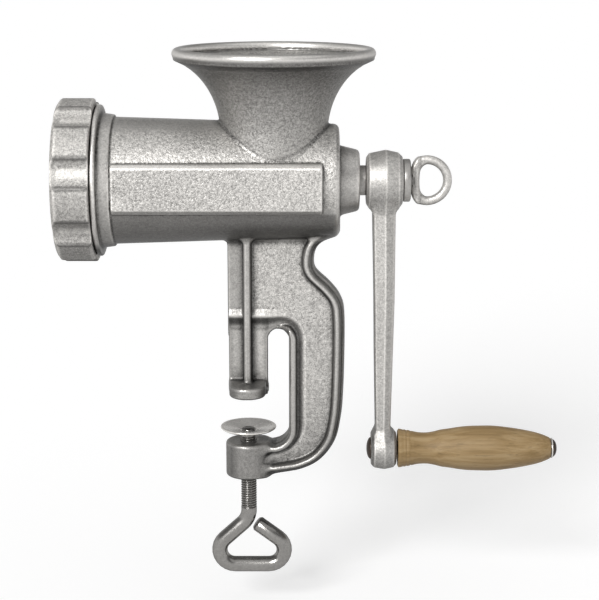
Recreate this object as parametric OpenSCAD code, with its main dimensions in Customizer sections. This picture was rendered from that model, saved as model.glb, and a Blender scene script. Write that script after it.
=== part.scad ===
// Hand crank meat grinder that clamps to a table top.
// Origin: centre of the jaw foot's underside, which bears on the table.
// +X runs from the mouth to the crank, +Z is up, and the clamp screw stands on the Z axis.

/* [Barrel] */
// Height of the barrel axis above the underside of the jaw foot
axis_z = 107; // [98:1:125]
// Place along X of the mouth's front rim
mouth_x = -88; // [-96:1:-84]
// Length of the barrel from the mouth's rim to its rear shoulder
barrel_l = 133.5; // [130:0.5:145]
// Outside radius of the barrel just behind its collar
barrel_front_r = 31.4; // [30.5:0.1:32]
// Outside radius of the barrel at its rear shoulder
barrel_rear_r = 27.8; // [27.5:0.1:30]
// Radius of the bore that the feed screw turns in
bore_r = 24.5; // [22:0.1:25]
// Thickness of the barrel's rear wall
rear_wall = 3; // [2:0.5:5]
// Height of the flat band along each side of the barrel
band_h = 20.4; // [14:0.2:26]
// Distance between the faces of the two flat bands
band_w = 62.8; // [62:0.1:64]

/* [Mouth] */
// Crest radius of the mouth's outside thread
mouth_r = 36; // [35.6:0.1:37]
// Pitch of the mouth's thread
mouth_pitch = 3; // [2:0.5:4]
// Length of the mouth's thread
mouth_thread_l = 13; // [10:0.5:14]
// Radius of the shoulder flange behind the ring nut
flange_r = 37.3; // [36.5:0.1:39]
// Radius of the collar next to the flange
collar_r = 33.2; // [33:0.1:35]
// Radius of the collar next to the barrel
collar_end_r = 32.3; // [32:0.1:32.9]
// Length of the collar
collar_l = 6.2; // [4:0.2:9]

/* [Rear bearing] */
// Length of the boss that carries the feed screw's journal
boss_l = 10; // [7:0.5:14]
// Radius of the bearing boss where it leaves the barrel
boss_root_r = 17.4; // [15:0.2:20]
// Radius of the bearing boss at its end
boss_end_r = 14.9; // [12:0.1:15]
// Radius of the feed screw's journal
journal_r = 7.4; // [6.5:0.1:9]

/* [Hopper] */
// Distance of the hopper axis from the clamp axis
hopper_x = 13.5; // [8:0.5:16]
// Height of the hopper rim's centre above the barrel axis
hopper_h = 62.4; // [58:0.2:75]
// Radius of the hopper rim at the middle of its bead
rim_r = 47.1; // [44:0.1:52]
// Thickness of the rolled bead round the rim
bead_d = 4.8; // [4:0.1:7]
// Outside radius of the hopper's neck
neck_r = 26.3; // [25:0.1:27]
// Wall thickness of the hopper
hopper_wall = 3; // [2.5:0.1:4]

/* [Ring nut] */
// Radius over the lobes of the ring nut
ring_r = 40.4; // [39.8:0.1:43]
// Number of lobes round the ring nut
ring_lobes = 8; // [6:1:10]
// Depth of the scallops between the lobes
scallop_depth = 2.1; // [1:0.1:2.4]
// Width of the ring nut along the barrel
ring_l = 18.4; // [17:0.2:20]
// Radius of the opening in front of the plate
ring_open_r = 26.5; // [24:0.1:28]
// Thickness of the lip that holds the plate
lip_t = 3.4; // [2.5:0.1:5]

/* [Plate and knife] */
// Radius of the grinding plate
plate_r = 31; // [30:0.1:31.5]
// Thickness of the grinding plate
plate_t = 6; // [5:0.5:8]
// Radius of each hole in the plate
hole_r = 2.5; // [1.5:0.1:2.7]
// Number of rings of holes
hole_rings = 4; // [3:1:4]
// Radius over the tips of the knife's blades
knife_r = 26; // [23:0.1:27]
// Thickness of the knife
knife_t = 9; // [7:0.5:10]
// Width across the flats of the knife's square hole
knife_sq = 8; // [6:0.1:9]

/* [Feed screw] */
// Pitch of the feed screw's flight
flight_pitch = 26; // [20:1:34]
// Thickness of the flight along the barrel
flight_t = 5; // [3:0.1:8]
// Radius of the feed screw's core
core_r = 10.5; // [9:0.5:13]
// Thickness of the fibre thrust washer
thrust_t = 1.8; // [1:0.1:3]

/* [Crank] */
// Distance between the barrel axis and the grip axis
crank_throw = 138.1; // [120:0.5:150]
// Largest radius of the crank's hub
hub_r = 14.9; // [13:0.1:17]
// Length of the crank's hub
hub_l = 17.9; // [14:0.1:22]
// Width across the flats of the square drive
drive_sq = 10.4; // [9:0.1:10.4]
// Thickness of the arm next to the hub
arm_top_t = 11.4; // [9:0.1:14]
// Thickness of the arm next to the grip
arm_low_t = 7.4; // [6:0.1:9]
// Radius of the boss that carries the grip's spindle
crank_boss_r = 10.6; // [9:0.1:12]
// Length of the boss that carries the grip's spindle
crank_boss_l = 12.8; // [10:0.1:16]

/* [Eye screw] */
// Outside radius of the eye
eye_r = 12.4; // [11:0.1:15]
// Thickness of the eye's bar
eye_bar_d = 4.4; // [3.6:0.1:5.5]
// Thickness of the eye's flat root
eye_root_l = 3.9; // [3:0.1:5]
// Distance from the eye's centre to the straight side of its hole
eye_flat = 3.7; // [2:0.1:5]
// Radius of the washer under the eye screw
washer_r = 10.6; // [9:0.1:12]
// Thickness of the washer under the eye screw
washer_t = 3.6; // [2:0.1:4]
// Radius of the crank screw's thread
screw_r = 4; // [3:0.1:4.4]

/* [Grip] */
// Length of the wooden grip
grip_l = 78.2; // [70:0.2:95]
// Radius of the grip at its thickest place
grip_r = 11.5; // [10:0.1:13]
// Radius of the steel spindle through the grip
spindle_r = 3.5; // [3:0.1:4]

/* [Clamp frame] */
// Thickness of the frame's web
web_t = 9; // [7:0.5:12]
// Depth of the flanges that edge the frame
flange_w = 19; // [16:0.5:22]
// Thickness of the outer flange
outer_flange_t = 5; // [3.5:0.1:6.5]
// Thickness of the inner flange
inner_flange_t = 3.2; // [2:0.1:4.4]
// Width of the post that stands on the jaw foot
post_w = 19; // [17:0.2:20]
// Thickness of the post below its panel
post_t = 6; // [5:0.5:7]
// Height of the panel's lower edge above the foot's underside
panel_z = 39.4; // [38:0.2:44]
// Width of the slot between the post and the back of the frame
slot_w = 11.1; // [10:0.1:12]
// Height of the slot's top above the foot's underside
slot_top = 32.5; // [26:0.5:33]
// Length of the jaw foot across the table's edge
foot_l = 44; // [34:1:50]
// Thickness of the jaw foot
foot_t = 5; // [4:0.2:7]
// Depth of the stiffening rib down the post
rib_w = 22; // [16:0.5:28]
// Thickness of the stiffening rib
rib_t = 3.4; // [2.5:0.1:4.5]

/* [Clamp screw] */
// Radius of the boss that the clamp screw turns in
nut_boss_r = 11.5; // [10:0.1:13]
// Height of that boss
nut_boss_h = 18; // [16:0.5:20]
// Depth of that boss's top below the jaw foot
nut_top_drop = 26.8; // [26:0.2:28]
// Radius of the clamp screw and of the rod that its handle is bent from
rod_r = 4; // [3.5:0.1:4.5]
// Pitch of the clamp screw's thread
rod_pitch = 1.25; // [1:0.25:2]
// Depth of the clamp screw's thread
thread_depth = 0.7; // [0.5:0.1:0.9]
// Distance from the boss down to the handle's first bend
handle_drop = 23.7; // [20:0.1:40]
// Height of the handle's loop between the middles of its bars
handle_h = 25.4; // [22:0.1:32]
// Reach of the loop's corner below the first bend
handle_left = 28; // [24:0.5:34]
// Reach of the loop's corner below the free end
handle_right = 34.2; // [28:0.1:40]
// Gap between the jaw foot and the clamp pad as drawn
clamp_gap = 19; // [17:0.2:19.4]
// Radius of the clamp pad's rim
pad_r = 14.4; // [12:0.1:16]

/* [Hidden] */

$fn = 96;
// Overlap that joins one solid of a piece to the next
weld = 0.2;
// Length by which a cut runs past the face that it opens
past = 1;
// Radial clearance of a journal or a spindle in its bore
run_fit = 0.05;
// Radial clearance of a screw in a plain bore that stands for its nut thread
thread_fit = 0.1;
// Gap left between pieces that only rest against each other
seat_gap = 0.3;
// Clearance of the plate, the knife and the flight in the barrel
bore_fit = 0.4;
// Slack of a square hole on its square, across the flats
square_slack = 0.3;
// Step from the feed screw's core up to its thrust collar
collar_step = 4;

// Groove between the mouth's thread and its flange, and the flange's thickness
thread_groove = 1.7;
flange_l = 2.3;

// Places along X
rear_x = mouth_x + barrel_l;
boss_end_x = rear_x + boss_l;
bore_end_x = rear_x - rear_wall;
plate_proud = 0.8;
plate_front_x = mouth_x - plate_proud;
plate_seat_x = plate_front_x + plate_t + 0.1;
ring_front_x = plate_front_x - 0.1 - lip_t;
flange_front_x = mouth_x + mouth_thread_l + thread_groove;
collar_x = flange_front_x + flange_l;
knife_x = plate_seat_x + 0.2;
screw_front_x = knife_x + knife_t + 0.4;
screw_rear_x = bore_end_x - thrust_t - 0.2;
hub_x = boss_end_x + 3.4;
hub_end_x = hub_x + hub_l;
drive_end_x = hub_end_x - 1.5;
washer_x = hub_end_x + seat_gap;
eye_x = washer_x + washer_t + seat_gap;
crank_boss_x = hub_x + 3.6;
crank_boss_end_x = crank_boss_x + crank_boss_l;
grip_x = crank_boss_end_x + 0.8;
grip_end_x = grip_x + grip_l;

// Heights
grip_z = axis_z - crank_throw;
hopper_rim_z = axis_z + hopper_h;
post_left = -post_w / 2;
post_right = post_w / 2 + 0.6;
slot_right = post_right + slot_w;
nut_top_z = -nut_top_drop;
nut_low_z = nut_top_z - nut_boss_h;
floor_z = nut_top_z - 1.2;
pad_rim_z = -clamp_gap;

// Runs what it holds along the barrel axis, from x towards the crank
module along_barrel(x) {
    translate([x, 0, axis_z]) rotate([0, 90, 0]) children();
}

// Runs what it holds along the grip axis, from x away from the crank arm
module along_grip(x) {
    translate([x, 0, grip_z]) rotate([0, 90, 0]) children();
}

// Stands a flat outline up in the XZ plane, with its thickness shared by both sides
module upright(t) {
    rotate([90, 0, 0]) linear_extrude(height = t, center = true) children();
}

// Points on a smooth curve through p, with n steps between each pair
function curve_point(a, b, c, d, t) = 0.5 * (2 * b + (c - a) * t + (2 * a - 5 * b + 4 * c - d) * t * t
    + (3 * b - a - 3 * c + d) * t * t * t);
function curve(p, n) = [
    for (i = [0 : len(p) - 2], k = [0 : n - 1])
        curve_point(p[max(i - 1, 0)], p[i], p[i + 1], p[min(i + 2, len(p) - 1)], k / n),
    p[len(p) - 1]];

// A rod with thread ridges, standing on z = 0
module ridged_rod(crest_r, depth, pitch, length) {
    ridges = floor(length / pitch);
    points = [
        [0, 0],
        for (i = [0 : ridges - 1]) each [
            [crest_r - depth, i * pitch],
            [crest_r, (i + 0.4) * pitch],
            [crest_r, (i + 0.6) * pitch]],
        [crest_r - depth, ridges * pitch],
        [crest_r - depth, length],
        [0, length]];
    rotate_extrude() polygon(points);
}

// Stations along a rod that is bent at the corners of a flat path: each is a point and a heading
function unit(v) = v / norm(v);
function heading(p, i) = atan2(p[i + 1].y - p[i].y, p[i + 1].x - p[i].x);
function turn_at(p, i) = let (t = heading(p, i) - heading(p, i - 1)) t > 180 ? t - 360 : t < -180 ? t + 360 : t;
function bend_stations(p, bend, i, n) = let (
        turn = turn_at(p, i),
        way = unit(p[i] - p[i - 1]),
        from = p[i] - way * bend * tan(abs(turn) / 2),
        centre = from + sign(turn) * bend * [-way.y, way.x])
    [for (k = [0 : n]) let (h = heading(p, i - 1) + turn * k / n)
        [centre + sign(turn) * bend * [sin(h), -cos(h)], h]];
function rod_stations(p, bend, n) = [
    [p[0], heading(p, 0)],
    for (i = [1 : len(p) - 2]) each bend_stations(p, bend[i], i, n),
    [p[len(p) - 1], heading(p, len(p) - 2)]];

// A bent rod, drawn in the XZ plane
module bent_rod(p, bend, r, steps, sides) {
    stations = rod_stations(p, bend, steps);
    last = len(stations) - 1;
    points = [for (s = stations, k = [0 : sides - 1]) let (a = k * 360 / sides, out = r * cos(a))
        [s[0].x - out * sin(s[1]), r * sin(a), s[0].y + out * cos(s[1])]];
    walls = [for (i = [0 : last - 1], k = [0 : sides - 1])
        let (n = (k + 1) % sides, low = i * sides, high = low + sides) each [
        [low + k, low + n, high + k], [low + n, high + n, high + k]]];
    ends = [[for (k = [sides - 1 : -1 : 0]) k], [for (k = [0 : sides - 1]) last * sides + k]];
    polyhedron(points, concat(walls, ends));
}

// ---- Casting: barrel, hopper and clamp frame in one piece ----

// The flare of the hopper is a quarter of an ellipse
flare_reach = rim_r + 11 - neck_r;
flare_rise = hopper_h - 24.4;
flare_low = axis_z + 23;
function flare_r(z, wall) = neck_r + flare_reach
    - (flare_reach + wall) * sqrt(1 - pow((z - flare_low) / (flare_rise + wall), 2));
flare_top = hopper_rim_z - bead_d * 0.7;
hopper_steps = 14;
function flare(wall) = [for (i = [0 : hopper_steps])
    let (z = flare_low + (flare_top - flare_low) * i / hopper_steps) [flare_r(z, wall), z]];

module hopper_outside() {
    translate([hopper_x, 0, 0]) {
        rotate_extrude() polygon(concat([[0, axis_z], [neck_r, axis_z]], flare(0),
            [[rim_r, hopper_rim_z], [0, hopper_rim_z]]));
        translate([0, 0, hopper_rim_z]) rotate_extrude() translate([rim_r, 0]) circle(d = bead_d);
    }
}

module hopper_inside() {
    translate([hopper_x, 0, 0]) rotate_extrude()
        polygon(concat([[0, axis_z], [neck_r - hopper_wall, axis_z]], flare(hopper_wall),
            [[rim_r - bead_d / 2, hopper_rim_z], [rim_r - bead_d / 2, hopper_rim_z + bead_d],
            [0, hopper_rim_z + bead_d]]));
}

module barrel_outside() {
    shoulder_round = 3;
    along_barrel(mouth_x) ridged_rod(mouth_r, 1.2, mouth_pitch, flange_front_x - mouth_x + weld);
    along_barrel(flange_front_x) cylinder(h = flange_l, r = flange_r);
    along_barrel(collar_x - weld) cylinder(h = collar_l + weld, r1 = collar_r, r2 = collar_end_r);
    along_barrel(collar_x) rotate_extrude() polygon([[0, 0], [barrel_front_r, 0],
        [barrel_rear_r, rear_x - collar_x - shoulder_round],
        for (a = [15 : 15 : 75]) [barrel_rear_r - shoulder_round * (1 - cos(a)),
            rear_x - collar_x - shoulder_round * (1 - sin(a))],
        [barrel_rear_r - shoulder_round, rear_x - collar_x], [0, rear_x - collar_x]]);
    side_band();
    rear_boss();
}

module side_band() {
    bevel = 2.2;
    band_x = collar_x + collar_l - weld;
    translate([band_x, 0, axis_z]) rotate([90, 0, 90])
        linear_extrude(height = rear_x - 7 - band_x) polygon([
            [band_w / 2, band_h / 2], [band_w / 2 - bevel, band_h / 2 + bevel],
            [bevel - band_w / 2, band_h / 2 + bevel], [-band_w / 2, band_h / 2],
            [-band_w / 2, -band_h / 2], [bevel - band_w / 2, -band_h / 2 - bevel],
            [band_w / 2 - bevel, -band_h / 2 - bevel], [band_w / 2, -band_h / 2]]);
}

module rear_boss() {
    round_r = 2.6;
    along_barrel(rear_x - weld) rotate_extrude() polygon([[0, 0], [boss_root_r, 0],
        [boss_end_r, boss_l + weld - round_r],
        for (a = [22.5 : 22.5 : 67.5]) [boss_end_r - round_r * (1 - cos(a)),
            boss_l + weld - round_r * (1 - sin(a))],
        [boss_end_r - round_r, boss_l + weld], [0, boss_l + weld]]);
}

module barrel_inside() {
    knife_room = knife_r + 1.4;
    along_barrel(mouth_x - past) cylinder(h = plate_seat_x - mouth_x + past, r = plate_r + 0.1);
    along_barrel(plate_seat_x - weld) cylinder(h = knife_t + 1 + weld, r = knife_room);
    along_barrel(plate_seat_x) cylinder(h = bore_end_x - plate_seat_x, r = bore_r);
    along_barrel(bore_end_x - weld) cylinder(h = boss_end_x - bore_end_x + 2 * past,
        r = journal_r + run_fit);
    key_place() cylinder(h = key_l + past, r = key_r + 0.01);
}

// The key is a pin let half into the wall of the plate's seat, at the bottom
key_r = 1.5;
key_l = 6;
module key_place() {
    translate([plate_seat_x - key_l + 1, 0, axis_z - plate_r - 0.1]) rotate([0, 90, 0])
        children();
}

// Edge of the clamp frame, from under the rear bearing to the clamp screw's boss
waist_x = slot_right + 12.4;
back_x = slot_right + 26.9;
far_x = mouth_x - 2;
frame_edge = curve([
    [rear_x - 0.5, axis_z - barrel_rear_r + 4],
    [waist_x + 6, axis_z - 27.2],
    [waist_x + 1.2, axis_z - 31.6],
    [waist_x, axis_z - 38],
    [waist_x + 2.2, axis_z - 44.6],
    [back_x - 5.4, axis_z - 51.6],
    [back_x - 1.4, axis_z - 58],
    [back_x, axis_z - 66],
    [back_x, axis_z - 86],
    [back_x - 0.6, floor_z + 26],
    [back_x - 1.7, floor_z + 14],
    [back_x - 4.6, floor_z + 2],
    [back_x - 11.6, floor_z - 7.5],
    [back_x - 21, floor_z - 12.6],
    [back_x - 32, floor_z - 14.6],
    [4, nut_low_z + 0.8]], 5);

// Everything in front of that edge, up to the barrel axis
module inside_edge() {
    polygon(concat([[frame_edge[0].x, axis_z]], frame_edge,
        [[far_x, frame_edge[len(frame_edge) - 1].y], [far_x, axis_z]]));
}

// Space where the table top goes, and the slot above it
function arc(cx, cy, r, from, to, n) = [for (i = [0 : n]) let (a = from + (to - from) * i / n)
    [cx + r * cos(a), cy + r * sin(a)]];
throat_corner_r = 9;
module throat() {
    polygon(concat([[far_x, 0], [far_x, floor_z]],
        arc(slot_right - throat_corner_r, floor_z + throat_corner_r, throat_corner_r, -90, 0, 8),
        [[slot_right, 0]]));
    slot();
}

module slot() {
    top_r = slot_w / 2;
    polygon(concat([[post_right, -1], [slot_right, -1]],
        arc(slot_right - top_r, slot_top - top_r, top_r, 0, 180, 16)));
}

module frame_outline() {
    difference() {
        inside_edge();
        throat();
        translate([far_x, 0]) square([post_left - far_x, axis_z]);
        translate([far_x, nut_low_z]) square([-far_x, -nut_low_z]);
    }
}

// Part of the frame where the web steps back to the thinner post
module post_outline() {
    intersection() {
        frame_outline();
        union() {
            translate([post_left, 0]) square([post_w + 4, panel_z]);
            offset(delta = inner_flange_t + 2.4) slot();
        }
    }
}

module frame_web() {
    upright(web_t) difference() {
        frame_outline();
        post_outline();
    }
    upright(post_t) frame_outline();
    for (side = [-1, 1]) translate([post_left, side * (web_t / 2 - 0.6), panel_z + 1])
        rotate([0, 90, 0]) cylinder(h = post_w + 4, r = 1.4, $fn = 24);
}

module frame_flanges() {
    upright(flange_w) difference() {
        inside_edge();
        offset(delta = -outer_flange_t) inside_edge();
        translate([far_x, nut_low_z]) square([-far_x, axis_z - nut_low_z]);
    }
    upright(flange_w) intersection() {
        difference() {
            offset(delta = inner_flange_t) throat();
            throat();
        }
        union() {
            translate([slot_right - slot_w / 2, floor_z - 5]) square([slot_w, slot_top + 10 - floor_z]);
            translate([0, floor_z - 5]) square([slot_right, 6]);
        }
    }
    upright(post_t + 2) intersection() {
        difference() {
            offset(delta = 1) slot();
            slot();
        }
        translate([post_right - 2, 12]) square([slot_w, slot_top]);
    }
}

module jaw_foot() {
    tip_y = foot_l / 2 - post_w / 2;
    for (side = [-1, 1]) translate([0, side * tip_y, 0]) cylinder(h = foot_t, r = post_w / 2);
    translate([-post_w / 2, -tip_y, 0]) cube([post_w, 2 * tip_y, foot_t]);
}

module post_rib() {
    spread = 3;
    translate([-rib_t / 2, -rib_w / 2, foot_t - weld])
        cube([rib_t, rib_w, axis_z - barrel_rear_r - foot_t]);
    translate([0, 0, foot_t - weld]) hull() {
        translate([-rib_t / 2 - spread, -rib_w / 2 - spread, 0])
            cube([rib_t + 2 * spread, rib_w + 2 * spread, 0.5]);
        translate([-rib_t / 2, -rib_w / 2, spread + 1]) cube([rib_t, rib_w, 0.5]);
    }
}

module grinder_body() {
    color([0.72, 0.71, 0.69]) difference() {
        union() {
            barrel_outside();
            hopper_outside();
            frame_web();
            frame_flanges();
            jaw_foot();
            post_rib();
            translate([0, 0, nut_low_z]) cylinder(h = nut_boss_h, r = nut_boss_r);
        }
        barrel_inside();
        hopper_inside();
        translate([0, 0, nut_low_z - past])
            cylinder(h = nut_boss_h + 2 * past, r = rod_r + thread_fit);
    }
}

module plate_key() {
    color([0.55, 0.55, 0.57]) key_place() cylinder(h = key_l, r = key_r);
}

// ---- Mouth: ring nut, plate and knife ----

module ring_nut() {
    ring_fit = 0.15;
    half_chord = ring_r * sin(90 / ring_lobes);
    cut_r = (half_chord * half_chord + scallop_depth * scallop_depth) / (2 * scallop_depth);
    first_scallop = 12;
    bevel_x = 3.4;
    bevel_r = 4;
    color([0.78, 0.78, 0.77]) difference() {
        along_barrel(ring_front_x) rotate_extrude() polygon([
            [ring_open_r + 1.5, 0], [ring_r - bevel_r, 0], [ring_r - 1, bevel_x - 1.2],
            [ring_r, bevel_x + 2.4], [ring_r, ring_l - 1.4], [ring_r - 1.4, ring_l],
            [mouth_r + ring_fit, ring_l], [mouth_r + ring_fit, lip_t], [ring_open_r, lip_t],
            [ring_open_r, 1.5]]);
        for (i = [0 : ring_lobes - 1]) along_barrel(ring_front_x - past)
            rotate([0, 0, i * 360 / ring_lobes - 90 - first_scallop])
            translate([ring_r - scallop_depth + cut_r, 0, 0]) cylinder(h = ring_l + 2 * past, r = cut_r);
    }
}

// Radius of ring i of the plate's holes, and how many holes it has
inner_hole_ring = 9.4;
function hole_ring_r(i) = inner_hole_ring + i * (plate_r - hole_r - 1.3 - inner_hole_ring) / (hole_rings - 1);
function holes_in(i) = floor(2 * PI * hole_ring_r(i) / (2 * hole_r + 1.7));

module grinding_plate() {
    color([0.66, 0.66, 0.68]) difference() {
        along_barrel(plate_front_x) cylinder(h = plate_t, r = plate_r);
        along_barrel(plate_front_x - past)
            cylinder(h = plate_t + 2 * past, r = stud_tip_r + run_fit);
        for (i = [0 : hole_rings - 1], k = [0 : holes_in(i) - 1]) along_barrel(plate_front_x - past)
            rotate([0, 0, (k + 0.5) * 360 / holes_in(i)]) translate([hole_ring_r(i), 0, 0])
            cylinder(h = plate_t + 2 * past, r = hole_r, $fn = 24);
        translate([plate_front_x - past, 0, axis_z - plate_r - 0.1]) rotate([0, 90, 0])
            cylinder(h = plate_t + 2 * past, r = key_r + 0.25);
    }
}

stud_tip_r = 3.9;
stud_root_r = 5;
stud_root_l = 14;

module cross_knife() {
    knife_hub_r = 9;
    blade_w = 9;
    color([0.7, 0.7, 0.72]) difference() {
        union() {
            along_barrel(knife_x) cylinder(h = knife_t, r = knife_hub_r);
            for (a = [0 : 90 : 270]) along_barrel(knife_x) rotate([0, 0, a])
                linear_extrude(height = knife_t - 1.5) polygon([[0, -blade_w / 2],
                    [knife_r - 1.5, -blade_w / 2], [knife_r, 0.5 - blade_w / 2],
                    [knife_r - 0.6, 1], [0, blade_w / 2]]);
        }
        along_barrel(knife_x - past) translate([0, 0, (knife_t + 2 * past) / 2])
            cube([knife_sq + square_slack, knife_sq + square_slack, knife_t + 2 * past], center = true);
    }
}

module knife_stud() {
    color([0.6, 0.6, 0.62]) {
        along_barrel(plate_front_x + 0.2) cylinder(h = knife_x - plate_front_x, r = stud_tip_r);
        along_barrel(knife_x) translate([0, 0, (knife_t + 0.4) / 2])
            cube([knife_sq, knife_sq, knife_t + 0.4], center = true);
        along_barrel(screw_front_x - weld) cylinder(h = stud_root_l + weld, r = stud_root_r);
    }
}

// ---- Feed screw ----

// Section across the feed screw: the core, and the flight where it passes
module screw_section() {
    circle(r = core_r, $fn = 24);
    polygon(concat([[0, 0]], arc(0, 0, bore_r - bore_fit, 0, 360 * flight_t / flight_pitch, 5)));
}

module feed_screw() {
    rear_collar_l = 5;
    wound_l = screw_rear_x - rear_collar_l - screw_front_x;
    turns = wound_l / flight_pitch;
    color([0.62, 0.62, 0.61]) difference() {
        union() {
            along_barrel(screw_front_x) linear_extrude(height = wound_l + weld, twist = 360 * turns,
                slices = ceil(turns * 18), $fn = 24) screw_section();
            along_barrel(screw_rear_x - rear_collar_l)
                cylinder(h = rear_collar_l, r = core_r + collar_step);
            along_barrel(screw_rear_x - weld) cylinder(h = hub_x - screw_rear_x + weld, r = journal_r);
            along_barrel(hub_x - weld) translate([0, 0, (drive_end_x - hub_x + weld) / 2])
                cube([drive_sq, drive_sq, drive_end_x - hub_x + weld], center = true);
        }
        along_barrel(screw_front_x - past)
            cylinder(h = stud_root_l + past + 0.2, r = stud_root_r + 0.01);
        along_barrel(eye_tip_x - 2) cylinder(h = drive_end_x - eye_tip_x + 4, r = screw_r + thread_fit);
    }
}

module thrust_washer() {
    color([0.42, 0.24, 0.14]) along_barrel(screw_rear_x + 0.1) difference() {
        cylinder(h = thrust_t, r = core_r + collar_step);
        translate([0, 0, -past]) cylinder(h = thrust_t + 2 * past, r = journal_r + 0.2);
    }
}

// ---- Crank ----

arm_top_w = 19;
arm_low_w = 13;
// Drops from the barrel axis to where the arm starts to thin and to its slight bend
arm_thin_drop = 59;
arm_bend_drop = 87;

// Six-sided section of the arm, with a ridge along the parting line on each narrow side
module arm_slice(z, x0, x1, w) {
    mid = (x0 + x1) / 2;
    shy = w * 0.36;
    translate([0, 0, z]) linear_extrude(height = 0.1)
        polygon([[x0, -shy], [mid, -w / 2], [x1, -shy], [x1, shy], [mid, w / 2], [x0, shy]]);
}

module arm_bar() {
    top_x = hub_x + 3.1;
    low_x = crank_boss_x + 2.1;
    bend_z = axis_z - arm_bend_drop;
    bend_t = (arm_top_t + 2 * arm_low_t) / 3 + 0.6;
    bend_w = (arm_top_w + 2 * arm_low_w) / 3;
    hull() {
        arm_slice(axis_z - 8, top_x, top_x + arm_top_t, arm_top_w);
        arm_slice(axis_z - arm_thin_drop, top_x + 1.2, top_x + arm_top_t, (arm_top_w + bend_w) / 2);
    }
    hull() {
        arm_slice(axis_z - arm_thin_drop, top_x + 1.2, top_x + arm_top_t, (arm_top_w + bend_w) / 2);
        arm_slice(bend_z, top_x + 1.6, top_x + 1.6 + bend_t, bend_w);
    }
    hull() {
        arm_slice(bend_z, top_x + 1.6, top_x + 1.6 + bend_t, bend_w);
        arm_slice(grip_z + 5, low_x, low_x + arm_low_t, arm_low_w);
    }
}

module crank_hub() {
    along_barrel(hub_x) rotate_extrude() polygon([[0, 0], [hub_r - 4, 0], [hub_r - 2, 1],
        [hub_r - 1, 2.6], [hub_r, hub_l * 0.5], [hub_r - 1.4, hub_l - 2.6],
        [hub_r - 2.4, hub_l - 1], [hub_r - 4.4, hub_l], [0, hub_l]]);
}

module crank_boss() {
    along_grip(crank_boss_x) rotate_extrude() polygon([[0, 0], [crank_boss_r - 2.4, 0],
        [crank_boss_r - 0.8, 1.6], [crank_boss_r, crank_boss_l * 0.55],
        [crank_boss_r - 0.8, crank_boss_l - 1.4], [crank_boss_r - 2, crank_boss_l],
        [0, crank_boss_l]]);
}

module crank_arm() {
    color([0.74, 0.73, 0.71]) difference() {
        union() {
            crank_hub();
            arm_bar();
            crank_boss();
        }
        along_barrel(hub_x - past) translate([0, 0, hub_l / 2 + past])
            cube([drive_sq + square_slack, drive_sq + square_slack, hub_l + 2 * past], center = true);
        along_grip(crank_boss_x - past)
            cylinder(h = crank_boss_l + 2 * past, r = spindle_r + 0.02);
    }
}

module crank_washer() {
    color([0.7, 0.7, 0.7]) along_barrel(washer_x) difference() {
        rotate_extrude() polygon([[0, 0], [washer_r - 0.5, 0], [washer_r, 0.6],
            [washer_r, washer_t - 0.9], [washer_r - 0.8, washer_t], [0, washer_t]]);
        translate([0, 0, -past]) cylinder(h = washer_t + 2 * past, r = screw_r + 0.3);
    }
}

// Eye screw: a round eye cut off flat where its root bears on the washer
eye_centre_x = eye_x + eye_root_l + eye_flat;
eye_tip_x = hub_x + 1;
module eye_screw() {
    root_w = eye_bar_d * 1.4;
    color([0.76, 0.76, 0.76]) {
        along_barrel(eye_tip_x) cylinder(h = eye_x - eye_tip_x + weld, r = screw_r);
        intersection() {
            across_eye() rotate_extrude()
                translate([eye_r - eye_bar_d / 2, 0]) circle(d = eye_bar_d, $fn = 32);
            along_barrel(eye_x) cylinder(h = 2 * eye_r, r = 2 * eye_r);
        }
        intersection() {
            across_eye() cylinder(h = root_w, r = eye_r - 0.4, center = true);
            along_barrel(eye_x) cylinder(h = eye_root_l, r = eye_r);
        }
    }
}

// Turns what it holds to lie across the barrel axis, round the eye's centre
module across_eye() {
    translate([eye_centre_x, 0, axis_z]) rotate([90, 0, 0]) children();
}

// ---- Grip ----

module grip_spindle() {
    head_l = 3.4;
    head_r = 5.6;
    dome_l = 3.2;
    dome_r = 4.4;
    color([0.24, 0.21, 0.19]) {
        along_grip(crank_boss_x) cylinder(h = grip_end_x - crank_boss_x + washer2_t + 0.5, r = spindle_r);
        along_grip(crank_boss_x) mirror([0, 0, 1]) dome(head_r, head_l);
        along_grip(grip_end_x + washer2_t + 0.4) dome(dome_r, dome_l);
        along_grip(crank_boss_end_x) cylinder(h = 0.5, r = spindle_r + 1.5);
    }
}

// A low domed head, standing on z = 0
module dome(r, h) {
    arc_r = (r * r + h * h) / (2 * h);
    rotate_extrude() intersection() {
        translate([0, h - arc_r]) circle(r = arc_r);
        square([r, h]);
    }
}

// Radius of the grip at each tenth or so of its length, as parts of its greatest radius
grip_shape = [[0, 0.86], [0.025, 0.84], [0.07, 0.79], [0.12, 0.715], [0.175, 0.69], [0.225, 0.73],
    [0.28, 0.82], [0.335, 0.87], [0.39, 0.93], [0.46, 0.98], [0.53, 0.995], [0.6, 1], [0.66, 0.975],
    [0.73, 0.92], [0.8, 0.85], [0.87, 0.76], [0.93, 0.66], [0.975, 0.55], [1, 0.47]];
module wooden_grip() {
    color([0.82, 0.68, 0.5]) along_grip(grip_x) difference() {
        rotate_extrude() polygon(concat([[0, 0]],
            [for (p = curve(grip_shape, 2)) [p[1] * grip_r, p[0] * grip_l]], [[0, grip_l]]));
        translate([0, 0, -past]) cylinder(h = grip_l + 2 * past, r = spindle_r + run_fit);
    }
}

washer2_t = 0.7;
module grip_washer() {
    color([0.7, 0.7, 0.68]) along_grip(grip_end_x + 0.2) difference() {
        cylinder(h = washer2_t, r = spindle_r + 1.7);
        translate([0, 0, -past]) cylinder(h = washer2_t + 2 * past, r = spindle_r + 0.2);
    }
}

// ---- Clamp ----

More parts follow.
